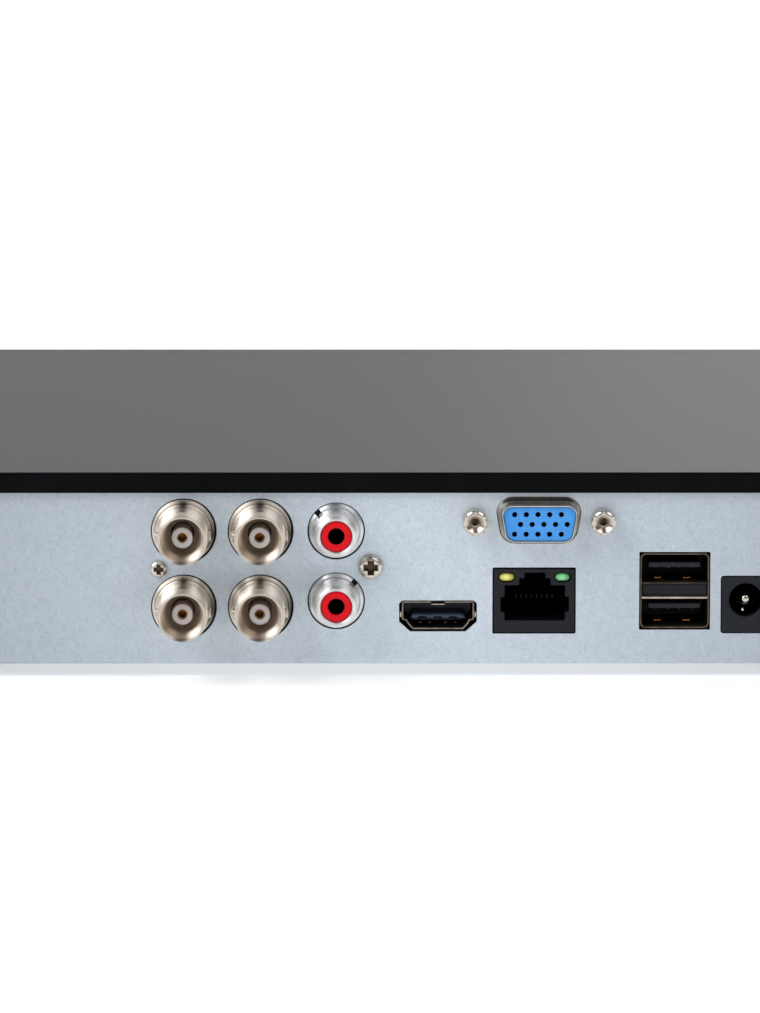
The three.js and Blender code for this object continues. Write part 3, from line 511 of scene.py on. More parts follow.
CAST = (0.5, 4)
FINS = (0.3, 3, 0.55, (1, 0.2, 1))
FINISHES = {
    "galvanised_steel": galvanised_steel(),
    "black_paint": black_paint("black_paint", "black_paint"),
    "black_plastic": black_plastic("black_plastic"),
    "rubber": grained("rubber", (1.5, 4), (18, 18, 18), (28, 28, 28), ((0.6, 3), 0.75, 0.95),
                      ((0.3, 3), 0.04, 0.4), Specular_IOR_Level=0.25),
    "clear_plastic": grained("clear_plastic", (2, 3), (206, 218, 224), (232, 240, 244),
                             ((0.6, 3), 0.12, 0.28), Transmission_Weight=0.7),
    "circuit_board": circuit_board(),
    "zinc_screw": metal("zinc_screw", "zinc_screw", (0.8, 4), (190, 184, 174), (228, 222, 212),
                        ((0.5, 3), 0.18, 0.36), ((0.3, 3), 0.01, 0.3)),
    "white_insulator": coloured_plastic("white_insulator", (226, 219, 217), (214, 206, 205), 0.45,
                                        Subsurface_Weight=0.5, Subsurface_Scale=MM),
    "contact_bronze": bronze("contact_bronze", (128, 82, 34), (178, 126, 62)),
    "red_plastic": coloured_plastic("red_plastic", (222, 3, 26), (206, 2, 20), 0.42),
    "blue_plastic": coloured_plastic("blue_plastic", (76, 156, 232), (66, 145, 222), 0.42),
    "tin_shell": drawn_steel("tin_shell", (214, 210, 203), (176, 170, 162), 0.28),
    "yellow_lens": lens("yellow_lens", (246, 244, 130), (150, 142, 36)),
    "green_lens": lens("green_lens", (140, 226, 158), (44, 112, 68)),
    "chip_black": black_plastic("chip_black", (28, 29, 32), 0.55, 0.2, slot="chip_black"),
    "anodised_fins": grained("anodised_fins", (2, 4), (34, 36, 41), (48, 50, 56), (FINS, 0.36, 0.56),
                             (FINS, 0.01, 0.3), Metallic=0.7),
    "white_nylon": coloured_plastic("white_nylon", (228, 224, 212), (212, 207, 194), 0.5),
    "cast_aluminium": metal("cast_aluminium", "cast_aluminium", (3, 5), (158, 161, 165), (188, 190, 193),
                            (CAST, 0.36, 0.6), (CAST, 0.03, 0.4)),
    "polished_disc": metal("polished_disc", "polished_disc", (20, 2), (206, 208, 212), (224, 226, 228),
                           ((8, 3), 0.04, 0.09)),
    "red_jacket": coloured_plastic("red_jacket", (178, 42, 34), (150, 30, 26), 0.5),
}
# The same materials where they are darker, duller or smoother than elsewhere. Several darker copies below are
# painted shade, and the barrel and bore carry painted light and shade.
BEZEL_SATIN = black_paint("bezel_satin", "black_plastic")
TOP_DARK_REFLECTION = [((0, w, 5.3), 1.5) for w in (1.5, 3.5, 5.5, 7.5)]  # a painted dark reflection: a streak along the barrel's top
# painted shade on the flange's right side, a painted dark reflection on the bottom of the mouth, and the
# painted top streak
BARREL = painted_light_nickel("nickel_barrel", [((-7.6, 0.5, -1.2), 6.5), ((0.4, 14, -4.8), 2.4), *TOP_DARK_REFLECTION],
                   (0.15, (243, 234, 223)), (0.8, (72, 62, 54)))
# painted highlight low on the bore's right near its mouth; the rest of the bore is a darker, browner painted
# shade
BORE = painted_light_nickel("nickel_bore", [((-2.6, 11.5, -3.2), 6.5)], (0.42, (204, 184, 162)), (0.72, (252, 243, 232)))
SILVER = turned_nickel("nickel_bright", (244, 244, 244), (224, 225, 227), 0.42, 0.95)
# painted shade: a darker nickel for screw recesses and thread holes
RECESS_SHADE = turned_nickel("nickel_recess_shade", (120, 104, 90), (84, 72, 62), 0.4)
DRAWN_NICKEL = smooth_nickel("nickel_drawn", (214, 206, 196), (186, 176, 164), 0.2)
# painted shade: near-black plastic for the walls of holes, bores and ports, darker than their real walls
HOLE_SHADE = black_plastic("hole_shade", (3, 3, 4), 0.8, shine_level=0.05)
SLATE_TONGUE = black_plastic("slate_tongue", (44, 53, 76), 0.35, shine_level=0.5)
DARK_TONGUE = black_plastic("dark_tongue", (20, 22, 31), 0.4, shine_level=0.3)
# painted shade: darker copies of the tinned steel, for the HDMI and USB shells and the parts inside them
TIN_LIGHT_SHADE = drawn_steel("tin_shell_light_shade", (204, 192, 178), (160, 148, 134), 0.36)
TIN_SHADE = drawn_steel("tin_shell_shade", (156, 146, 136), (112, 102, 94), 0.38)
TIN_DEEP_SHADE = drawn_steel("tin_shell_deep_shade", (128, 114, 100), (84, 74, 64), 0.4)
SHADOW_STEEL = drawn_steel("tin_shell_inside", (90, 82, 76), (56, 50, 46), 0.45)
SMOOTH_STEEL = drawn_steel("steel_smooth", (204, 206, 208), (196, 198, 200), 0.3)
# painted shade: a darker bronze for contacts deep in the HDMI and network ports
BRONZE_SHADE = bronze("contact_bronze_shade", (44, 34, 24), (78, 62, 42))
CERAMIC = coloured_plastic("ceramic", (176, 150, 120), (136, 110, 84), 0.6, slot="chip_black")


# ---------- pieces ----------


def piece(name, bm, finish, replaces=None, origin=(0, 0, 0), edge=0.0, inner=None, inside=None):
    """One finished piece that rides on the recorder.

    origin is the point that its patterns turn about. inner is a second finish, for the faces whose
    middle passes the inside test.
    """
    finish = FINISHES[finish] if isinstance(finish, str) else finish
    origin = Vector(origin)
    faces = [bool(inside(f.calc_center_median())) for f in bm.faces] if inner else []
    bm.transform(Matrix.Scale(MM, 4) @ Matrix.Translation(-origin))
    mesh = mesh_of(name, bm)
    mesh.shade_smooth()
    mesh.set_sharp_from_angle(angle=math.radians(SHARP))
    mesh.materials.append(finish.material)
    if inner:
        mesh.materials.append(inner.material)
        mesh.polygons.foreach_set("material_index", [int(x) for x in faces])
    made = put(name, mesh)
    made.location = origin * MM
    if edge:
        bevel(made, edge)
    flatten_normals(made)
    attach(made, RECORDER)
    if replaces:
        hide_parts(replaces)


def bevel(thing, width, segments=2):
    step = thing.modifiers.new("soft_edges", "BEVEL")
    step.width, step.segments = width * MM, segments
    step.limit_method, step.angle_limit = "ANGLE", math.radians(40)
    step.use_clamp_overlap = True


def flatten_normals(thing):
    """Keeps flat faces looking flat beside their rounded edges."""
    step = thing.modifiers.new("normals", "WEIGHTED_NORMAL")
    step.keep_sharp = True


# ---------- case ----------

# W, H and L are sizes, V and Y are places
VENT_W = 2.6
SIDE_VENT_H, SIDE_VENT_V, SIDE_VENT_PITCH = 15.0, 24.0, 6.5
FLOOR_VENT_L, FLOOR_VENT_Y, FLOOR_VENT_PITCH = 34.0, 46.0, 7.0
LIP_H = 4.0
LIGHT_PITCH = 9.0
USB_H, USB_V = 14.8, 14.5
TONGUES_V = (18.95, 10.85)  # the undersides of the two USB tongues
# u from the HDMI socket's middle, v from the case's underside
HDMI_OPENING = [(-5.45, 6.5), (5.45, 6.5), (7.6, 8.45), (7.6, 12.0), (7.0, 12.62), (-7.0, 12.62),
                (-7.6, 12.0), (-7.6, 8.45)]
HDMI_SHELL = [(-4.95, 7.0), (4.95, 7.0), (5.95, 8.1), (6.2, 8.7), (7.05, 8.85), (7.05, 12.5), (-7.05, 12.5),
              (-7.05, 8.85), (-6.2, 8.7), (-5.95, 8.1)]


def slot_tool(middle, length, width, along, through):
    """A cutter for a round-ended slot. along and through are axis numbers."""
    across = 3 - along - through
    half = length / 2 - width / 2
    line = []
    for side in (1, -1):
        for k in range(9):
            a = math.pi * (k / 8 - 0.5)
            line.append((side * (half + width / 2 * math.cos(a)), side * width / 2 * math.sin(a)))
    rings = []
    for depth in (-2.0, 2.0):
        ring = []
        for s, t in line:
            p = Vector(middle)
            p[along] += s
            p[across] += t
            p[through] += depth
            ring.append(p)
        rings.append(ring)
    return skin(rings)


def vent_rows(count, pitch):
    """Places at an even pitch, about 0."""
    return [(i - (count - 1) / 2) * pitch for i in range(count)]


def panel_tool(line, back=-2.0, front=1.0):
    """A cutter that goes through the rear panel."""
    return outward([(line, back), (line, front)])


def shifted(points, u, v=0.0):
    return [(a + u, b + v) for a, b in points]


def socket_openings():
    """Cutters for the rear panel's openings, each a little wider than what stands in it."""
    tools = []
    for n in range(1, 5):
        u, v = seat(f"bnc_insulator_{n}")
        tools.append(panel_tool(circle(size(f"bnc_shell_{n}").z / 2 + 0.34, u + 0.1, v - 0.06)))
    for n in (1, 2):
        u, v = seat(f"rca_insert_{n}")
        tools.append(panel_tool(circle(size(f"rca_shell_{n}").z / 2 + 0.28, u, v - 0.1)))
    for name in ("connector_screw_left", "connector_screw_right", "ground_screw"):
        tools.append(panel_tool(circle(1.35, *seat(name), 32)))
    for name in ("vga_jackscrew_left", "vga_jackscrew_right"):
        tools.append(panel_tool(circle(1.8, *seat(name), 32)))
    tools.append(panel_tool(outline(shifted(HDMI_OPENING, seat("hdmi_shell")[0]), 0.3)))
    tools.append(panel_tool(outline(d_corners(), 2.2, 0.98)))
    boxes = (("rj45_housing", 0.25, 0.3), ("usb_shell", 0.3, 0.15), ("dc_jack_housing", 0.2, 0.6))
    for name, slack, radius in boxes:
        wide, place = size(name), seat(name)
        if name == "usb_shell":
            wide.z, place = USB_H, (place[0], USB_V)
        plan = rectangle(wide.x + 2 * slack, wide.z + 2 * slack, *place)
        tools.append(panel_tool(outline(plan, radius)))
    return tools


def vga_middle():
    """The middle of the 15-way socket, halfway between its jackscrews."""
    left, right = seat("vga_jackscrew_left"), seat("vga_jackscrew_right")
    return (left[0] + right[0]) / 2, (left[1] + right[1]) / 2


def d_corners():
    """The D outline of the 15-way socket's nose: sides drawn in towards the bottom."""
    u, v = vga_middle()
    half_w, half_h, lean = 7.75, 3.65, 1.3
    return [(u - half_w + lean, v - half_h), (u + half_w - lean, v - half_h),
            (u + half_w, v + half_h), (u - half_w, v + half_h)]



def folded(path, thickness, bend, x0, x1):
    """Sheet folded along a path of (y, z) points, from x0 to x1. The path is the sheet's outer face."""
    outer = [Vector(p) for p in path]
    inner = []
    for i, p in enumerate(outer):
        into = (p - outer[i - 1]).normalized() if i else (outer[1] - p).normalized()
        out = (outer[i + 1] - p).normalized() if i < len(outer) - 1 else into
        n_in, n_out = Vector((-into.y, into.x)), Vector((-out.y, out.x))
        inner.append(p + (n_in + n_out) * thickness / (1 + n_in.dot(n_out)))
    loop = soften(outer, bend, 6) + soften(inner, bend - thickness * 0.6, 6)[::-1]
    return skin([[Vector((x, y, z)) for y, z in loop] for x in (x0, x1)])


def tray():
    """Floor, rear panel and front wall folded from one sheet, with low side walls."""
    half, front = TRAY_HIGH.x, TRAY_LOW.y
    wall = CASE_Z + 11
    path = [(PANEL_Y, TRAY_HIGH.z), (PANEL_Y, CASE_Z), (front, CASE_Z), (front, wall)][::-1]
    sheet = folded(path, SHEET, 1.15, -half, half)
    sides = [slab((s - SHEET / 2, front + 1.2, CASE_Z + 0.1), (s + SHEET / 2, PANEL_Y - 0.4, wall), 0.1)
             for s in (-half + SHEET / 2, half - SHEET / 2)]
    floor_vents = [slot_tool((x, FLOOR_VENT_Y + dy, CASE_Z), FLOOR_VENT_L, VENT_W, 0, 2)
                   for x in (-48, 48) for dy in vent_rows(7, FLOOR_VENT_PITCH)]
    bm = carve(sheet, sides, "UNION")
    return carve(bm, socket_openings() + floor_vents)


def board_posts():
    """Where the main board is screwed to its posts, as (x, y)."""
    low, high = BOARD_LOW, BOARD_HIGH
    return [(x, y) for x in (low.x + 4, high.x - 4) for y in (low.y + 6, low.y + 62)]


def standoffs():
    """Pressed posts under the board and pads under the drive."""
    drive_low, drive_high = corners("hdd_base")
    top = BOARD_LOW.z - 0.3
    profile = soften([(3.2, CASE_Z + SHEET), (2.6, top), (1.1, top), (1.1, top - 1.5)], 0.3)
    parts = [upright(x, y, profile, count=48) for x, y in board_posts()]
    for x in (drive_low.x + 20, drive_low.x + 127):
        for y in (drive_low.y + 12, drive_high.y - 12):
            parts.append(slab((x - 5, y - 5, CASE_Z + SHEET), (x + 5, y + 5, drive_low.z - 0.3), 0.25, 1))
    return joined(*parts)


def cover():
    """Top, sides and rear lip, folded from one painted sheet, with vent slots in both sides."""
    low, high = COVER_LOW, COVER_HIGH
    outer = skin([[Vector((x, y, z)) for x, z in cover_section(0.0)] for y in (low.y, high.y)])
    soften_rear_edge(outer, high)
    inner = skin([[Vector((x, y, z)) for x, z in cover_section(-SHEET)] for y in (low.y - 5, high.y - SHEET)])
    below = slab((low.x - 5, PANEL_Y + 0.1, low.z - 5), (high.x + 5, high.y + 5, high.z - LIP_H), 0.05)
    vents = [slot_tool((side, middle + dy, CASE_Z + SIDE_VENT_V), SIDE_VENT_H, VENT_W, 2, 0)
             for side in (low.x, high.x) for middle in (-42, 42) for dy in vent_rows(9, SIDE_VENT_PITCH)]
    return carve(outer, [inner, below, *vents, *cover_screw_tools(1.8)])


def cover_section(grow):
    """The cover's cross-section in (x, z), open at the bottom once the inner one is taken out."""
    left, right = COVER_LOW.x - grow, COVER_HIGH.x + grow
    bottom, top = COVER_LOW.z + 5 * grow, COVER_HIGH.z + grow
    bend = 1.2 if not grow else 0.6
    return soften([(right, bottom), (right, top), (left, top), (left, bottom)], bend, 6)


def soften_rear_edge(bm, high):
    """Rounds the fold between the top and the rear lip."""
    edges = [e for e in bm.edges
             if all(abs(v.co.y - high.y) < 1e-4 for v in e.verts)
             and all(v.co.z > high.z - LIP_H + 0.1 for v in e.verts)]
    bmesh.ops.bevel(bm, geom=edges, offset=0.75, segments=5, profile=0.5, affect="EDGES")


def cover_screw_tools(r):
    """Cutters for the screw holes in the cover's sides."""
    tools = []
    for name in (f"cover_screw_{side}_{n}" for side in ("left", "right") for n in (1, 2)):
        low, high = corners(name)
        y, z = (low.y + high.y) / 2, (low.z + high.z) / 2
        tools.append(skin([[Vector((x, y + a, z + b)) for a, b in circle(r, count=32)]
                           for x in (low.x - 1, high.x + 1)]))
    return tools


def bezel():
    """A moulded front: a nose that leans back above a shallow groove, rounded at both ends."""
    low, high = corners("front_bezel")
    y0, y1, z0, z1 = low.y, COVER_LOW.y - 0.06, low.z, high.z
    side = [(y1, z0), (y1, z1), (y0 + 2.1, z1), (y0 + 0.9, z1 - 4), (y0, z0 + 19), (y0 + 1.2, z0 + 18.2),
            (y0 + 1.2, z0 + 16.8), (y0, z0 + 16), (y0, z0)]
    reaches = {2: 2.4, 3: 2.0, 4: 0.35, 5: 0.35, 6: 0.35, 7: 0.35, 8: 2.0}  # how far each bend runs back
    loop = []
    for i, p in enumerate(side):
        if i in reaches:
            loop += soften([side[i - 1], p, side[(i + 1) % len(side)]], reaches[i], 6)[1:-1]
        else:
            loop.append(p)
    middle = Vector(((y0 + y1) / 2, (z0 + z1) / 2))
    rings = []
    for grow, x in soft_ends(low.x, high.x, 0.9, 4):
        ring = []
        for y, z in loop:
            p = Vector((y, z))
            pull = p - middle
            pull.y *= 0.5
            ring.append(Vector((x, *(p + pull.normalized() * grow if y < y1 else p))))
        rings.append(ring)
    wall = 2.2
    tools = [slab((low.x + wall, y0 + 4, z0 + wall), (high.x - wall, y1 + 4, z1 - wall), 0.4)]
    pipe_low, pipe_high = corners("light_pipe")
    pipe = (pipe_low + pipe_high) / 2
    for x in [pipe.x + n * LIGHT_PITCH for n in (-1, 0, 1)]:
        tools.append(slab((x - 2.1, y0 - 2, pipe.z - 0.8), (x + 2.1, y0 + 8, pipe.z + 0.8), 0.1))
    return carve(skin(rings), tools)


def foot(name):
    low, high = corners(name)
    x, y, r = (low.x + high.x) / 2, (low.y + high.y) / 2, (high.x - low.x) / 2
    sole = [(r * 0.3, low.z + 0.35), (r * 0.62, low.z + 0.35), (r * 0.66, low.z), (r * 0.9, low.z)]
    side = [(r, low.z + 0.7), (r, high.z - 0.2), (r - 0.3, high.z)]
    return upright(x, y, soften(sole + side, 0.3))


def pan_screw(low, high, axis, head_h=1.4):
    """A pan-head screw with a tapered cross recess, filling a box. axis is the way its head faces."""
    middle = (low + high) / 2
    out = Vector(axis)
    side = Vector((1, 0, 0) if axis[2] else (0, 0, 1))
    head_r = sorted(high - low)[1] / 2
    tip = (high if sum(axis) > 0 else low).dot(Vector(map(abs, axis))) * sum(axis)
    back = tip - (high - low).dot(Vector(map(abs, axis)))
    seat_h = tip - head_h
    shank = head_r * 0.42
    profile = [(shank, back), (shank, seat_h), (head_r, seat_h), (head_r, seat_h + head_h * 0.45),
               (head_r * 0.74, tip - 0.02), (head_r * 0.1, tip)]
    line = soften(profile, head_r * 0.16, 4)
    base = middle - out * middle.dot(out)
    up = out.cross(side)
    rings = [[base + out * h + side * a + up * b for a, b in circle(r, count=64)] for r, h in line]
    arms = []
    for turn in (0.0, math.pi / 2):
        a_dir = side * math.cos(turn) + up * math.sin(turn)
        b_dir = up * math.cos(turn) - side * math.sin(turn)
        tool = []
        for h, long, wide in ((tip - head_h * 1.1, 0.3, 0.16), (tip, 0.6, 0.26), (tip + 0.3, 0.66, 0.3)):
            plan = rectangle(2 * long * head_r, 2 * wide * head_r)
            tool.append([base + out * h + a_dir * a + b_dir * b for a, b in plan])
        arms.append(skin(tool))
    recess = head_r * 0.66

    def in_recess(p):
        away_from_axis = p - middle
        depth = away_from_axis.dot(out)
        return (away_from_axis - out * depth).length < recess and p.dot(out) < tip - head_h * 0.12

    return carve(skin(rings), arms), middle, in_recess


def build_case():
    piece("rear_tray", tray(), "galvanised_steel", "base_tray", edge=0.07)
    piece("tray_standoffs", standoffs(), "galvanised_steel")
    piece("cover", cover(), "black_paint", "top_cover", edge=0.1)
    piece("bezel", bezel(), BEZEL_SATIN, "front_bezel", edge=0.15)
    for n in range(1, 5):
        piece(f"rubber_foot_{n}", foot(f"foot_{n}"), "rubber", f"foot_{n}")
    heads = {"connector_screw_left": (0, 1, 0), "connector_screw_right": (0, 1, 0), "ground_screw": (0, 1, 0)}
    for n in (1, 2):
        heads[f"cover_screw_left_{n}"] = (-1, 0, 0)
        heads[f"cover_screw_right_{n}"] = (1, 0, 0)
    for name, axis in heads.items():
        low, high = corners(name)
        head_h = (high.z - low.z) / 4 if name.startswith("connector") else 1.4
        bm, middle, in_recess = pan_screw(low, high, axis, head_h)
        # the cross recess takes the painted recess shade
        piece(f"{name}_pan", bm, "zinc_screw", name, origin=middle, edge=0.04, inner=RECESS_SHADE, inside=in_recess)


# ---------- video and audio sockets ----------


def bnc(n):
    """Shell with a bore and two bayonet pins, white insulator and a bronze contact."""
    place = seat(f"bnc_insulator_{n}")
    u, v = place
    back, front = reach(f"bnc_shell_{n}")
    flange = size(f"bnc_shell_{n}").z / 2
    barrel, bore, throat, pin_w = 4.87, 4.2, 2.3, 7.5
    outside = [
        (throat, back), (4.3, back), (4.3, -0.6), (flange, -0.6), (flange, 0.45), (flange - 0.4, 0.9),
        (flange - 0.55, 0.92), (flange - 0.62, 0.6), (flange - 0.72, 0.6), (5.45, 1.05), (5.3, 2.5),
        (5.0, 2.7), (barrel, 3.0), (barrel, front - 0.2), (barrel - 0.2, front),
    ]
    inside = [(bore + 0.2, front), (bore, front - 0.35), (bore - 1.0, 4.0), (bore - 1.25, 3.5), (throat, 3.5)]
    shell = turned(place, soften(outside + inside, 0.12, 3, closed=True))
    pins = []
    for side in (-1, 1):
        rings = []
        for r, x in soften([(0.98, barrel - 0.3), (0.98, 5.45), (0.3, 5.5)], 0.2, 3):
            rings.append([behind(u + side * x, pin_w + a, v + b) for a, b in circle(r, count=40)])
        pins.append(skin(rings))
    shell = carve(shell, pins, "UNION")
    origin = behind(u, 0, v)
    piece(f"bnc_barrel_{n}", shell, BARREL, f"bnc_shell_{n}", origin, inner=BORE,
          inside=lambda p: from_axis(p, u, v) < bore + 0.02)
    r, hole, tip = 2.04, 0.95, reach(f"bnc_insulator_{n}")[1]
    sleeve = soften([(hole, back + 0.3), (r, back + 0.3), (r, tip - 0.1), (r - 0.12, tip), (1.1, tip),
                     (hole, tip - 0.2)], 0.2, 3, closed=True)
    piece(f"bnc_dielectric_{n}", turned(place, sleeve, count=72), "white_insulator", f"bnc_insulator_{n}",
          origin)
    back, tip = reach(f"bnc_contact_{n}")
    contact = [(0.3, back), (0.88, back), (0.88, tip - 0.15), (0.8, tip), (0.72, tip), (0.6, tip - 0.25),
               (0.6, tip - 5), (0.05, tip - 5)]
    slits = [block(span(u, a), span(v, b), (tip - 3, tip + 0.5), 0.02) for a, b in ((1, 0.1), (0.1, 1))]
    contact = carve(turned(place, contact, tube=False, count=48), slits)
    piece(f"bnc_contact_sleeve_{n}", contact, "contact_bronze", f"bnc_contact_{n}", origin)


def rca(n, notch_deg):
    """Plated shell with a keying notch in its flange, red ring, and a near-black sheet in its bore as painted
    shade.
    """
    place = seat(f"rca_insert_{n}")
    u, v = place
    back, front = reach(f"rca_shell_{n}")
    flange = size(f"rca_shell_{n}").z / 2
    barrel, bore = 4.15, 3.06
    profile = [
        (bore, back), (4.4, back), (4.4, -0.6), (flange, -0.6), (flange, 0.3), (flange - 0.4, 0.75),
        (flange - 0.62, 0.78), (flange - 0.7, 0.4), (flange - 0.85, 0.4), (barrel + 0.32, 0.95),
        (barrel, 1.5), (barrel, front - 0.65), (barrel - 0.45, front), (bore + 0.05, front),
    ]
    shell = turned(place, soften(profile, 0.2, 4, closed=True))
    a = math.radians(notch_deg)
    tool = []
    for w in (-1.5, 1.5):
        plan = [(along * math.cos(a) - across * math.sin(a), along * math.sin(a) + across * math.cos(a))
                for along, across in rectangle(2.0, 1.25, flange - 0.35, 0)]
        tool.append((shifted(plan, u, v), w))
    origin = behind(u, 0, v)
    piece(f"rca_barrel_{n}", carve(shell, [outward(tool)]), SILVER, f"rca_shell_{n}", origin)
    hole = 1.6
    ring = [(hole, back + 0.5), (bore - 0.05, back + 0.5), (bore - 0.05, front - 0.35), (hole, front - 0.35)]
    ring = soften(ring, 0.3, 3, closed=True)
    piece(f"rca_ring_{n}", turned(place, ring), "red_plastic", f"rca_insert_{n}", origin)
    # painted shade: a near-black sheet lining the bore behind the red ring
    bore_shade = [(hole - 0.02, front - 0.75), (hole - 0.14, front - 0.75), (hole - 0.14, 0.5), (0.1, 0.5),
             (0.1, 0.2), (hole - 0.02, 0.2)]
    piece(f"rca_bore_shade_{n}", turned(place, bore_shade, count=64), HOLE_SHADE, origin=origin)


def build_av_sockets():
    for n in range(1, 5):
        bnc(n)
    for n, notch_deg in ((1, 135), (2, 45)):
        rca(n, notch_deg)


# ---------- digital sockets ----------


def hdmi():
    """A folded shell, stepped in at its lower corners, around a plastic tongue."""
    u, _ = seat("hdmi_shell")
    back, front = reach("hdmi_shell")
    shape = shifted(HDMI_SHELL, u)
    wall = 0.28
    profile = [(0.0, back), (0.0, front - 0.06), (-0.06, front), (-wall + 0.04, front), (-wall, front - 0.06),
               (-wall, back)]
    shell = outward([(outline(shape, 0.35, g), w) for g, w in profile], tube=True)
    notch = block(span(u, 1.35), (12.1, 12.9), (front - 1.4, front + 1), 0.05)
    # the can's outside takes a darker painted shade of tin
    piece("hdmi_can", carve(shell, [notch]), TIN_SHADE, "hdmi_shell", inner=SHADOW_STEEL,
          inside=lambda p: p.y < PANEL_Y - 0.5)
    springs = [block(span(u, 1.3), (11.75, 12.0), (front - 5, front - 0.35), 0.08)]
    for side in (-1, 1):
        springs.append(block(span(u + side * 7.28, 0.2), (9.35, 10.4), (-3.2, front - 0.15), 0.14))
    # painted shade: a slightly darker tin
    piece("hdmi_springs", joined(*springs), TIN_LIGHT_SHADE)
    blade = [(-5.25, 9.5), (-4.95, 9.85), (4.95, 9.85), (5.25, 9.5), (5.6, 8.75), (-5.6, 8.75)][::-1]
    nose = ((0.0, back + 1), (0.0, front - 1.7), (-0.12, front - 1.5), (-0.34, front - 1.3))
    core = [outward([(outline(shape, 0.2, g), w) for g, w in ((-0.5, back + 0.4), (-0.5, back + 3))]),
            outward([(outline(shifted(blade, u), 0.1, g), w) for g, w in nose])]
    piece("hdmi_core", joined(*core), SLATE_TONGUE, "hdmi_tongue")
    # three near-black blocks in the tongue's face, in the same near-black as the painted hole shade
    dark = [block(span(u + mid, 0.85), (9.0, 9.36), (front - 2.5, front - 1.27), 0.05)
            for mid in (-3.0, 0.0, 3.0)]
    piece("hdmi_keys", joined(*dark), HOLE_SHADE)
    contacts = [block(span(u + x, 0.13), (8.62, 8.77), (back + 2, front - 1.8), 0.04)
                for x in [-4.25 + 0.5 * i for i in range(18)]]
    tabs = [block(span(u + x, 0.28), (7.95, 8.35), (back + 4, front - 1.2), 0.1)
            for x in (-3.45, -1.6, 1.5, 3.4)]
    # the contacts take the darker painted shade of bronze
    piece("hdmi_contacts", joined(*contacts, *tabs), BRONZE_SHADE)


def vga():
    """Drawn shell with a filleted nose, blue insert with 15 holes, two jackscrews."""
    u, v = vga_middle()
    nose = d_corners()
    front = reach("vga_shell")[1]
    wall = 0.28
    outer = [(0.85, -0.35), (0.8, 0.0), (0.62, 0.3), (0.34, 0.6), (0.14, 1.0), (0.03, 1.6), (0.0, 2.4),
             (0.0, front - 0.15), (-0.08, front)]
    inner = [(-wall + 0.06, front), (-wall, front - 0.15), (-wall, -2.0), (0.85, -2.0)]
    shell = outward([(outline(nose, 2.0, g, 8), w) for g, w in outer + inner], tube=True)
    plate = rectangle(30.8, 12.4, u, v)
    plate = outward([(outline(plate, 1.2, g), w) for g, w in soft_ends(-1.9, -1.1, 0.2)])
    tools = [panel_tool(outline(nose, 2.0, 0.3), -4, 0)]
    tools += [panel_tool(circle(1.7, *seat(f"vga_jackscrew_{s}"), 32), -4, 0) for s in ("left", "right")]
    piece("vga_nose", shell, DRAWN_NICKEL, "vga_shell", origin=behind(u, 0, v))
    piece("vga_flange", carve(plate, tools), "tin_shell")
    face = front - 0.5
    rings = [(-wall - 0.04, -6), (-wall - 0.04, face - 0.1), (-wall - 0.12, face)]
    body = outward([(outline(nose, 2.0, g, 8), w) for g, w in rings])
    holes = []
    pitch, row_pitch, stagger = 2.27, 1.93, 0.5725
    profile = [(0.5, face - 4), (0.5, face - 0.1), (0.6, face + 0.05), (0.6, face + 0.3)]
    for row in (1, 0, -1):
        for column in range(-2, 3):
            shift = -stagger if row else stagger
            spot = (u + column * pitch + shift + 0.25, v + row * row_pitch - 0.1)
            holes.append(turned(spot, profile, tube=False, count=24))
    # the hole walls take the near-black painted shade instead of blue
    piece("vga_moulding", carve(body, holes), "blue_plastic", "vga_insert", inner=HOLE_SHADE,
          inside=lambda p: p.y < PANEL_Y + face - 0.3 and p.y > PANEL_Y + face - 4.2)
    stand = [block(span(u, 7), span(v, 2.8), (-26, -5.8), 0.4),
             block(span(u, 7), (6.3, v), (-26, -21.6), 0.4)]
    piece("vga_stand", joined(*stand), "black_plastic")
    for side in ("left", "right"):
        jackscrew(f"vga_jackscrew_{side}")


def jackscrew(name):
    """A hexagonal standoff with a turned chamfer and a threaded hole."""
    u, v = seat(name)
    back, front = reach(name)
    apothem = size(name).z / 2
    if size(name).x < size(name).z:
        apothem = size(name).x / 2

    def hexagon(cap, grow=0.0):
        line = []
        for i in range(ROUND):
            a = 2 * math.pi * i / ROUND
            part = (a + math.pi / 6) % (math.pi / 3) - math.pi / 6
            r = min((apothem + grow) / math.cos(part), cap)
            line.append((u + r * math.cos(a), v + r * math.sin(a)))
        return line

    wide, hole = apothem * 1.02, 0.62
    rings = [(circle(1.4, u, v), back), (circle(1.4, u, v), 0.25), (hexagon(wide, -0.15), 0.3),
             (hexagon(wide), 0.5), (hexagon(wide), front - 0.95), (hexagon(apothem), front - 0.3),
             (hexagon(apothem, -0.3), front - 0.05), (circle(1.85, u, v), front),
             (circle(1.65, u, v), front - 0.1), (circle(hole, u, v), front - 1.3)]
    depth = front - 1.3
    for k in range(8):  # the thread's ridges and grooves
        depth -= 0.2
        rings += [(circle(0.5 if k % 2 else hole, u, v), depth)]
    rings += [(circle(0.05, u, v), depth)]
    # the thread hole's walls take the painted recess shade
    piece(f"{name}_hex", outward(rings), DRAWN_NICKEL, name, origin=behind(u, 0, v), inner=RECESS_SHADE,
          inside=lambda p: from_axis(p, u, v) < hole + 0.01 and p.y > PANEL_Y + front - 3)


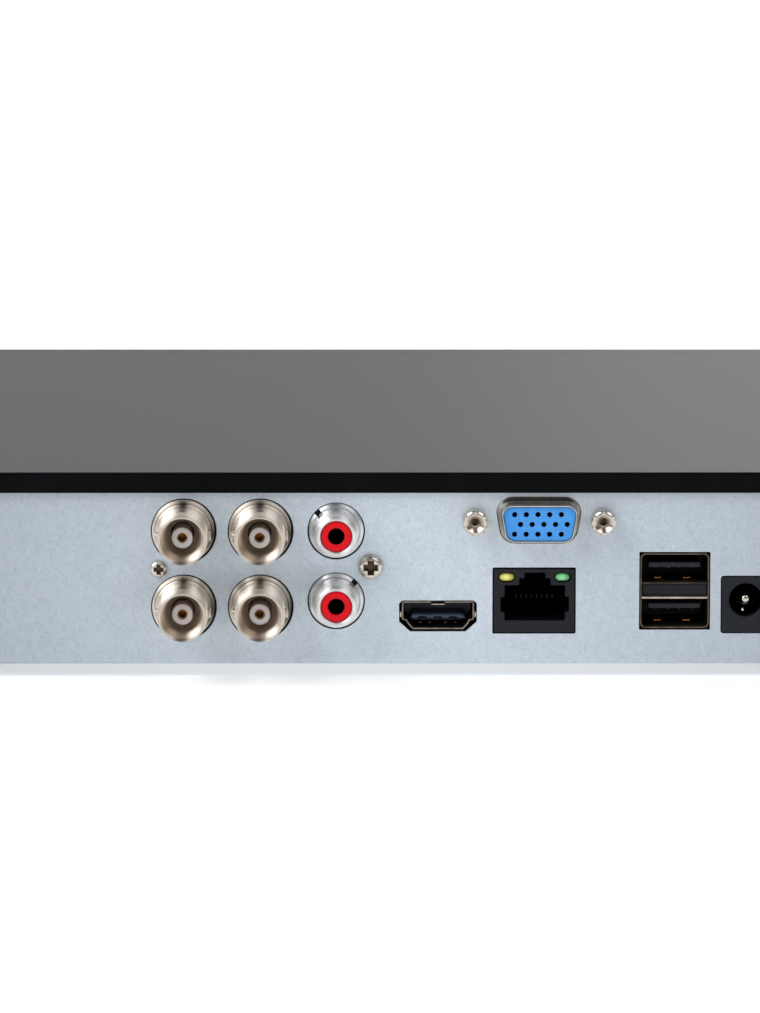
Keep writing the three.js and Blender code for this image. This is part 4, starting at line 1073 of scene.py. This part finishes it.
def rj45():
    """Housing with a stepped port, two lights, and eight contact springs."""
    u, v = seat("rj45_housing")
    back, front = reach("rj45_housing")
    wide = size("rj45_housing")
    centre = u + 0.15
    half = [(5.88, 8.7), (5.88, 10.4), (6.66, 10.4), (6.66, 13.3), (5.88, 13.3), (5.88, 15.6), (3.05, 15.6),
            (3.05, 17.0), (2.0, 17.0), (2.0, 18.1)]
    port = [(centre + a, b) for a, b in half] + [(centre - a, b) for a, b in reversed(half)]
    plan = rectangle(wide.x, wide.z, u, v)
    stock = outward([(outline(plan, 0.35, g), w) for g, w in soft_ends(back, front, 0.22, 3)])
    mouth = [(0.0, -14.5), (0.0, front - 0.22), (0.16, front), (0.3, front + 0.4)]
    tools = [outward([(outline(port, 0.28, g, 4), w) for g, w in mouth])]
    for side in ("yellow", "green"):
        window = ((0, -5.5), (0, front - 0.1), (0.24, front + 0.1))
        tools.append(outward([(oval(3.3 + g, 1.9 + g, *seat(f"rj45_led_{side}")), w) for g, w in window]))
    # the port's inside takes the near-black painted shade
    piece("rj45_body", carve(stock, tools), "black_plastic", "rj45_housing", edge=0.04, inner=HOLE_SHADE,
          inside=lambda p: (p.y < PANEL_Y - 0.5 and abs(p.x + centre) < 6.75
                            and CASE_Z + 8.6 < p.z < CASE_Z + 18.2))
    for side in ("yellow", "green"):
        u, v = seat(f"rj45_led_{side}")
        dome = [(0.0, -4.9), (0.0, -0.5), (0.16, -0.3), (0.44, -0.14), (0.84, -0.03), (1.24, 0.02),
                (1.56, 0.03)]
        rings = [(oval(3.15 - g, 1.7 - g, u, v), w) for g, w in dome]
        piece(f"rj45_window_{side}", outward(rings), f"{side}_lens", f"rj45_led_{side}", behind(u, 0, v))
    springs = []
    route = ((-13.5, 15.2), (-11.5, 14.9), (-7.0, 12.9), (-5.2, 12.2), (-5.0, 13.1))
    for k in range(8):
        x = centre + (k - 3.5) * 1.02
        springs.append(wire([behind(x, w, up) for w, up in route], 0.14))
    # the springs take the darker painted shade of bronze
    piece("rj45_springs", joined(*springs), BRONZE_SHADE)


def usb():
    """Two stacked ports in one shell, each with its tongue, contacts and grip springs."""
    u, v = seat("usb_shell")[0], USB_V
    back, front = reach("usb_shell")
    w, h, wall = 13.5, USB_H, 0.3
    box = rectangle(w, h, u, v)
    rim = front - 0.35
    profile = [(0.0, back), (0.0, rim - 0.08), (-0.08, rim), (-wall + 0.05, rim), (-wall, rim - 0.08),
               (-wall, back + 1), (-wall - 0.5, back + 1), (-wall - 0.5, back)]
    shell = outward([(outline(box, 1.1, g, 6), d) for g, d in profile], tube=True)
    half = w / 2 - wall
    floor = block(span(u, half), (15.82, 16.12), (back + 2, front - 0.6), 0.08)
    shelf = block(span(u, half), (12.95, 13.42), (back + 2, front + 0.02), 0.14)
    legs = [block(span(u + s * (w / 2 - 0.15), 0.15), (6.3, 8), span(d, 0.7), 0.05)
            for s in (-1, 1) for d in (-3.5, -15)]
    # the can's outside takes the deepest painted shade of tin
    piece("usb_can", joined(shell, floor, *legs), TIN_DEEP_SHADE, "usb_shell", inner=SHADOW_STEEL,
          inside=lambda p: p.y < PANEL_Y - 0.4 and abs(p.x + u) < w / 2 - 0.2)
    # painted shade: a slightly darker tin
    piece("usb_shelf", shelf, TIN_LIGHT_SHADE)
    core = [block(span(u, half - 0.1), (7.5, 21.5), (back + 1, back + 3.5), 0.2),
            block(span(u, half - 0.1), (13.5, 15.75), (back + 2, front - 0.9), 0.15)]
    tongues = [block(span(u, 5.1), (low, low + 1.05), (back + 2, front - 1.6), 0.22) for low in TONGUES_V]
    piece("usb_core", joined(*core), "black_plastic", "usb_insert")
    piece("usb_tongues", joined(*tongues), DARK_TONGUE)
    route = ((back + 3, 0.1), (-8, 0.2), (-5.5, 0.55), (-3.5, 0.15))
    contacts = [wire([behind(u + x, w, low - drop) for w, drop in route], 0.28)
                for low in TONGUES_V for x in (-3.5, -1.0, 1.0, 3.5)]
    piece("usb_contacts", joined(*contacts), "contact_bronze")
    grips = [block(span(u + x, 0.75), (low, low + 0.4), (-9, -3.2), 0.14)
             for low in (16.4, 8.0) for x in (-3.25, 2.5)]
    piece("usb_grips", joined(*grips), "contact_bronze")


def dc_jack():
    """Square housing with a round bore, a domed centre pin and a leaf spring below it."""
    u, v = seat("dc_jack_housing")
    back, front = reach("dc_jack_housing")
    wide = size("dc_jack_housing")
    plan = rectangle(wide.x, wide.z, u, v)
    stock = outward([(outline(plan, 0.55, g), w) for g, w in soft_ends(back, front, 0.2, 3)])
    place, bore = seat("dc_jack_pin"), 3.25
    profile = [(bore, -10.5), (bore, front - 0.25), (bore + 0.2, front), (bore + 0.4, front + 0.4)]
    stock = carve(stock, [turned(place, profile, tube=False)])
    # the bore's walls take the near-black painted shade
    piece("dc_housing", stock, "black_plastic", "dc_jack_housing", edge=0.04, inner=HOLE_SHADE,
          inside=lambda p: p.y < PANEL_Y - 0.3 and from_axis(p, *place) < bore + 0.1)
    back, front = reach("dc_jack_pin")
    u, v = place
    pin = soften([(1.0, back), (1.0, front - 0.8), (0.75, front - 0.25), (0.06, front)], 0.3, 5)
    piece("dc_pin", turned(place, pin, tube=False, count=64), DRAWN_NICKEL, "dc_jack_pin", behind(u, 0, v))
    leaf = [(0.5, -10), (0.5, -2.0), (0.42, -1.5), (0.2, -1.25), (0.05, -1.2)]
    leaf = turned((u - 0.5, v - 2.3), leaf, tube=False, count=32)
    bend = ((-1.7, -4, 0.9), (0, -3.4, 1.25), (1.8, -4, 1.2))
    clip = wire([behind(u + a, w, v - b) for a, w, b in bend], 0.16)
    piece("dc_leaf", joined(leaf, clip), DRAWN_NICKEL)


def build_digital_sockets():
    hdmi()
    vga()
    rj45()
    usb()
    dc_jack()


# ---------- inside ----------

# Which CAD nodes have which finish.
INSIDE = {
    "circuit_board": ("main_board", "led_board", "hdd_board"),
    "black_plastic": ("av_block",),
    "chip_black": ("soc", "battery_holder", "reset_button"),
    "anodised_fins": ("heatsink",),
    "tin_shell": ("coin_cell", "reset_switch", "hdd_cover"),
    "white_nylon": ("sata_header",),
    "cast_aluminium": ("hdd_base", "hdd_actuator"),
    "polished_disc": ("hdd_platter",),
    "red_jacket": ("sata_cable",),
    "clear_plastic": ("light_pipe",),
}
CHIPS = (  # (x, y) of the middle, then width, depth, height and the sides that have leads
    ((34, 64), (14, 14, 1.4), "xy"),
    ((34, 46), (9, 9, 1.2), "xy"),
    ((15, 58), (8, 12, 1.1), ""),
    ((15, 42), (8, 12, 1.1), ""),
    ((20, 24), (5, 6, 1.5), "x"),
    ((-30, 67), (16, 5.4, 4.6), "y"),
    ((-56, 52), (5, 6, 1.5), "x"),
    ((-14, 72), (6, 4, 1.2), "x"),
)
LEAD_PITCH = 1.1
SMALL_PARTS_TRIED = 420  # a place that is taken stays empty
COILS = ((-70, 60), (-60, 60), (-70, 16))
CANS = (  # (x, y), radius and height
    (-72, 72, 3.1, 8.5),
    (-64, 71, 3.1, 8.5),
    (-47, 64, 2.4, 6.0),
    (-47, 72, 2.4, 6.0),
    (24, 72, 2.4, 6.0),
)


def on_board(x, y, half_x, half_y, low, high, edge=0.04, corner=None):
    """A block on the main board, between two heights over its top."""
    z = BOARD_HIGH.z
    return slab((x - half_x, y - half_y, z + low), (x + half_x, y + half_y, z + high), edge, corner)


def room(x, y, half_x=0.0, half_y=0.0):
    """The space that a part takes on the board, as corners."""
    return Vector((x - half_x, y - half_y, 0)), Vector((x + half_x, y + half_y, 0))


def chip_feet(x, y, a, b, leads):
    """A chip's leads, as small feet along the sides named."""
    feet = []
    for along, half, run in (("x", a, b), ("y", b, a)):
        count = int(run * 2 / LEAD_PITCH) if along in leads else 0
        for k in range(count):
            t = (k - (count - 1) / 2) * LEAD_PITCH
            for s in (-1, 1):
                out = s * (half + 0.4)
                spot = (x + out, y + t, 0.5, 0.22) if along == "x" else (x + t, y + out, 0.22, 0.5)
                feet.append(on_board(*spot, 0.02, 0.24))
    return feet


def board_parts():
    """Chips, coils, capacitors and small parts on the main board."""
    top = BOARD_HIGH.z
    chips, feet, cans, grains = [], [], [], []
    taken = [corners(n) for n in ("av_block", "rj45_housing", "hdmi_shell", "usb_shell", "dc_jack_housing",
                                  "battery_holder", "reset_switch", "heatsink", "sata_header", "sata_cable",
                                  "hdd_base")]
    taken.append(room(-31, 80, 9, 12))  # the monitor socket's stand
    for (x, y), (a, b, h), leads in CHIPS:
        chips.append(on_board(x, y, a / 2, b / 2, 0.1, h, 0.12, 0.2))
        feet += chip_feet(x, y, a / 2, b / 2, leads)
        taken.append(room(x, y, a / 2, b / 2))
    for x, y in COILS:
        chips.append(on_board(x, y, 3.4, 3.4, 0.1, 4, 0.4, 1.2))
        taken.append(room(x, y, 4, 4))
    for x, y, r, h in CANS:
        foot_line = soften([(r + 0.2, top + 0.05), (r + 0.2, top + 0.9), (r, top + 1)], 0.1)
        chips.append(upright(x, y, foot_line, count=40))
        can_line = soften([(r - 0.1, top + 1), (r - 0.1, top + h), (0.1, top + h)], 0.35, 4)
        cans.append(upright(x, y, can_line, count=40))
        taken.append(room(x, y, 4, 4))
    cans.append(on_board(1.25, 71, 5.25, 2, 0.1, 3.4, 0.5, 1.9))  # the clock's crystal
    taken.append(room(1, 71, 6, 3))
    random.seed(11)
    for _ in range(SMALL_PARTS_TRIED):
        x = round(random.uniform(BOARD_LOW.x + 3, BOARD_HIGH.x - 3) * 2) / 2
        y = round(random.uniform(BOARD_LOW.y + 3, BOARD_HIGH.y - 3) * 2) / 2
        turn = random.random() < 0.5
        if any(lo.x - 1.8 < x < hi.x + 1.8 and lo.y - 1.8 < y < hi.y + 1.8 for lo, hi in taken):
            continue
        taken.append(room(x, y))
        a, b = (0.8, 0.42) if turn else (0.42, 0.8)
        grains.append(on_board(x, y, a * 0.62, b * 0.62, 0.03, 0.55, 0.05))
        for s in (-1, 1):
            cap = (x + s * a * 0.83, y, a * 0.17, b) if turn else (x, y + s * b * 0.83, a, b * 0.17)
            feet.append(on_board(*cap, 0.02, 0.58))
    piece("board_chips", joined(*chips), "chip_black")
    piece("board_grains", joined(*grains), CERAMIC)
    piece("board_solder", joined(*feet), "tin_shell")
    piece("board_cans", joined(*cans), "cast_aluminium")


def inner_screws():
    """Screws that hold the board to its posts and the drive's cover to its base."""
    posts = [(x, y, BOARD_HIGH.z, 2.6) for x, y in board_posts()]
    low, high = corners("hdd_cover")
    rim = [(x, y, high.z, 2.1) for x in (low.x + 4, high.x - 4)
           for y in (low.y + 4, (low.y + high.y) / 2, high.y - 4)]
    for n, (x, y, z, r) in enumerate(posts + rim):
        low, high = Vector((x - r, y - r, z + 0.02)), Vector((x + r, y + r, z + 1.5))
        bm, middle, in_recess = pan_screw(low, high, (0, 0, 1), 1.3)
        # the cross recess takes the painted recess shade
        piece(f"inner_screw_{n + 1}", bm, "zinc_screw", origin=middle, inner=RECESS_SHADE, inside=in_recess)


def dress_cad():
    """Gives every CAD node that is still shown its finish and soft edges."""
    for finish, nodes in INSIDE.items():
        for name in nodes:
            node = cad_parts[name]
            look = SMOOTH_STEEL if finish == "tin_shell" else FINISHES[finish]
            node.data.materials.clear()
            node.data.materials.append(look.material)
            bevel(node, 0.08 if name != "hdd_platter" else 0.04)
            flatten_normals(node)


# ---------- camera, light and floor ----------

AIM = behind(0, 0, 31.185) * MM
CAMERA_FAR, CAMERA_UP, CAMERA_SIDE = 1.2789, 8.154, -0.533  # metres, then degrees
LENS, ROLL = 232.97, 0.061


def away(side_deg, up_deg, far):
    """A point at that distance from the aim, turned to the right as seen from behind, and up."""
    side, up = math.radians(side_deg), math.radians(up_deg)
    flat = far * math.cos(up)
    return AIM + Vector((-flat * math.sin(side), flat * math.cos(side), far * math.sin(up)))


def camera():
    data = bpy.data.cameras.new("camera")
    data.lens, data.sensor_width = LENS, 36.0
    data.clip_start, data.clip_end = 0.05, 60.0
    made = put("camera", data)
    made.location = away(CAMERA_SIDE, CAMERA_UP, CAMERA_FAR)
    looking = (AIM - made.location).to_track_quat("-Z", "Y").to_matrix().to_4x4()
    turn = looking @ Matrix.Rotation(math.radians(ROLL), 4, "Z")
    made.rotation_euler = turn.to_euler()
    bpy.context.scene.camera = made


def lamp(name, kind, place, energy, **settings):
    """A light at that place, aimed at the recorder."""
    data = bpy.data.lights.new(name, kind)
    data.energy = energy
    for key, value in settings.items():
        setattr(data, key, value)
    made = put(name, data)
    made.location = place
    made.rotation_euler = (AIM - place).to_track_quat("-Z", "Y").to_euler()
    made.visible_camera = False


def sun(name, side_deg, up_deg, strength, spread_deg):
    lamp(name, "SUN", away(side_deg, up_deg, 3.0), strength, angle=math.radians(spread_deg))


def floor():
    """A wide pale disc with a rim that hides the horizon. Its sizes are in metres."""
    radius, rim_height = 14.0, 1.3
    bm = bmesh.new()
    bmesh.ops.create_circle(bm, cap_ends=True, segments=96, radius=radius)
    rim = bmesh.ops.extrude_edge_only(bm, edges=bm.edges[:])["geom"]
    raised = [v for v in rim if isinstance(v, bmesh.types.BMVert)]
    bmesh.ops.translate(bm, vec=(0, 0, rim_height), verts=raised)
    disc = put("floor", mesh_of("floor", bm))
    paint = Finish("floor_paint", "floor_paint", Base_Color=(0.6, 0.6, 0.6, 1), Roughness=0.9,
                   Emission_Color=(1, 1, 1, 1), Emission_Strength=0.5)
    disc.data.materials.append(paint.material)


def sky():
    """A grey surround, brighter beyond the recorder than on its rear panel's side."""
    world = bpy.data.worlds.new("studio")
    world.use_nodes = True
    tree = world.node_tree
    light = tree.nodes["Background"]
    facing = tree.nodes.new("ShaderNodeTexCoord")
    split = tree.nodes.new("ShaderNodeSeparateXYZ")
    ramp = tree.nodes.new("ShaderNodeValToRGB")
    tree.links.new(facing.outputs["Generated"], split.inputs["Vector"])
    tree.links.new(split.outputs["Z"], ramp.inputs["Fac"])
    tree.links.new(ramp.outputs["Color"], light.inputs["Color"])
    greys = [(0.0, 0.95), (0.2, 0.9), (0.34, 0.3), (0.7, 0.22), (1.0, 0.35)]  # horizon to overhead
    for k, (position, grey) in enumerate(greys):
        stop = ramp.color_ramp.elements[k] if k < 2 else ramp.color_ramp.elements.new(position)
        stop.position, stop.color = position, (grey, grey, grey, 1)
    ahead = tree.nodes.new("ShaderNodeMapRange")
    for label, value in (("From Min", -0.3), ("From Max", 0.3), ("To Min", 1.52), ("To Max", 0.33)):
        ahead.inputs[label].default_value = value
    tree.links.new(split.outputs["Y"], ahead.inputs["Value"])
    tree.links.new(ahead.outputs["Result"], light.inputs["Strength"])
    bpy.context.scene.world = world


def lamps():
    """Soft light, brightest from the upper left of the rear panel."""
    sun("key", -55, 40, 2.06, 42)
    sun("fill", 42, 46, 0.64, 36)
    sun("front_fill", 180, 45, 0.6, 60)
    glow = away(-176, 16, 3.0) + Vector((-0.9, 0, 0))
    lamp("cover_glow", "AREA", glow, 3.6, shape="SQUARE", size=1.2)


camera()
build_case()
build_av_sockets()
build_digital_sockets()
board_parts()
inner_screws()
dress_cad()
floor()
sky()
lamps()
bpy.context.scene.view_settings.view_transform = "Standard"
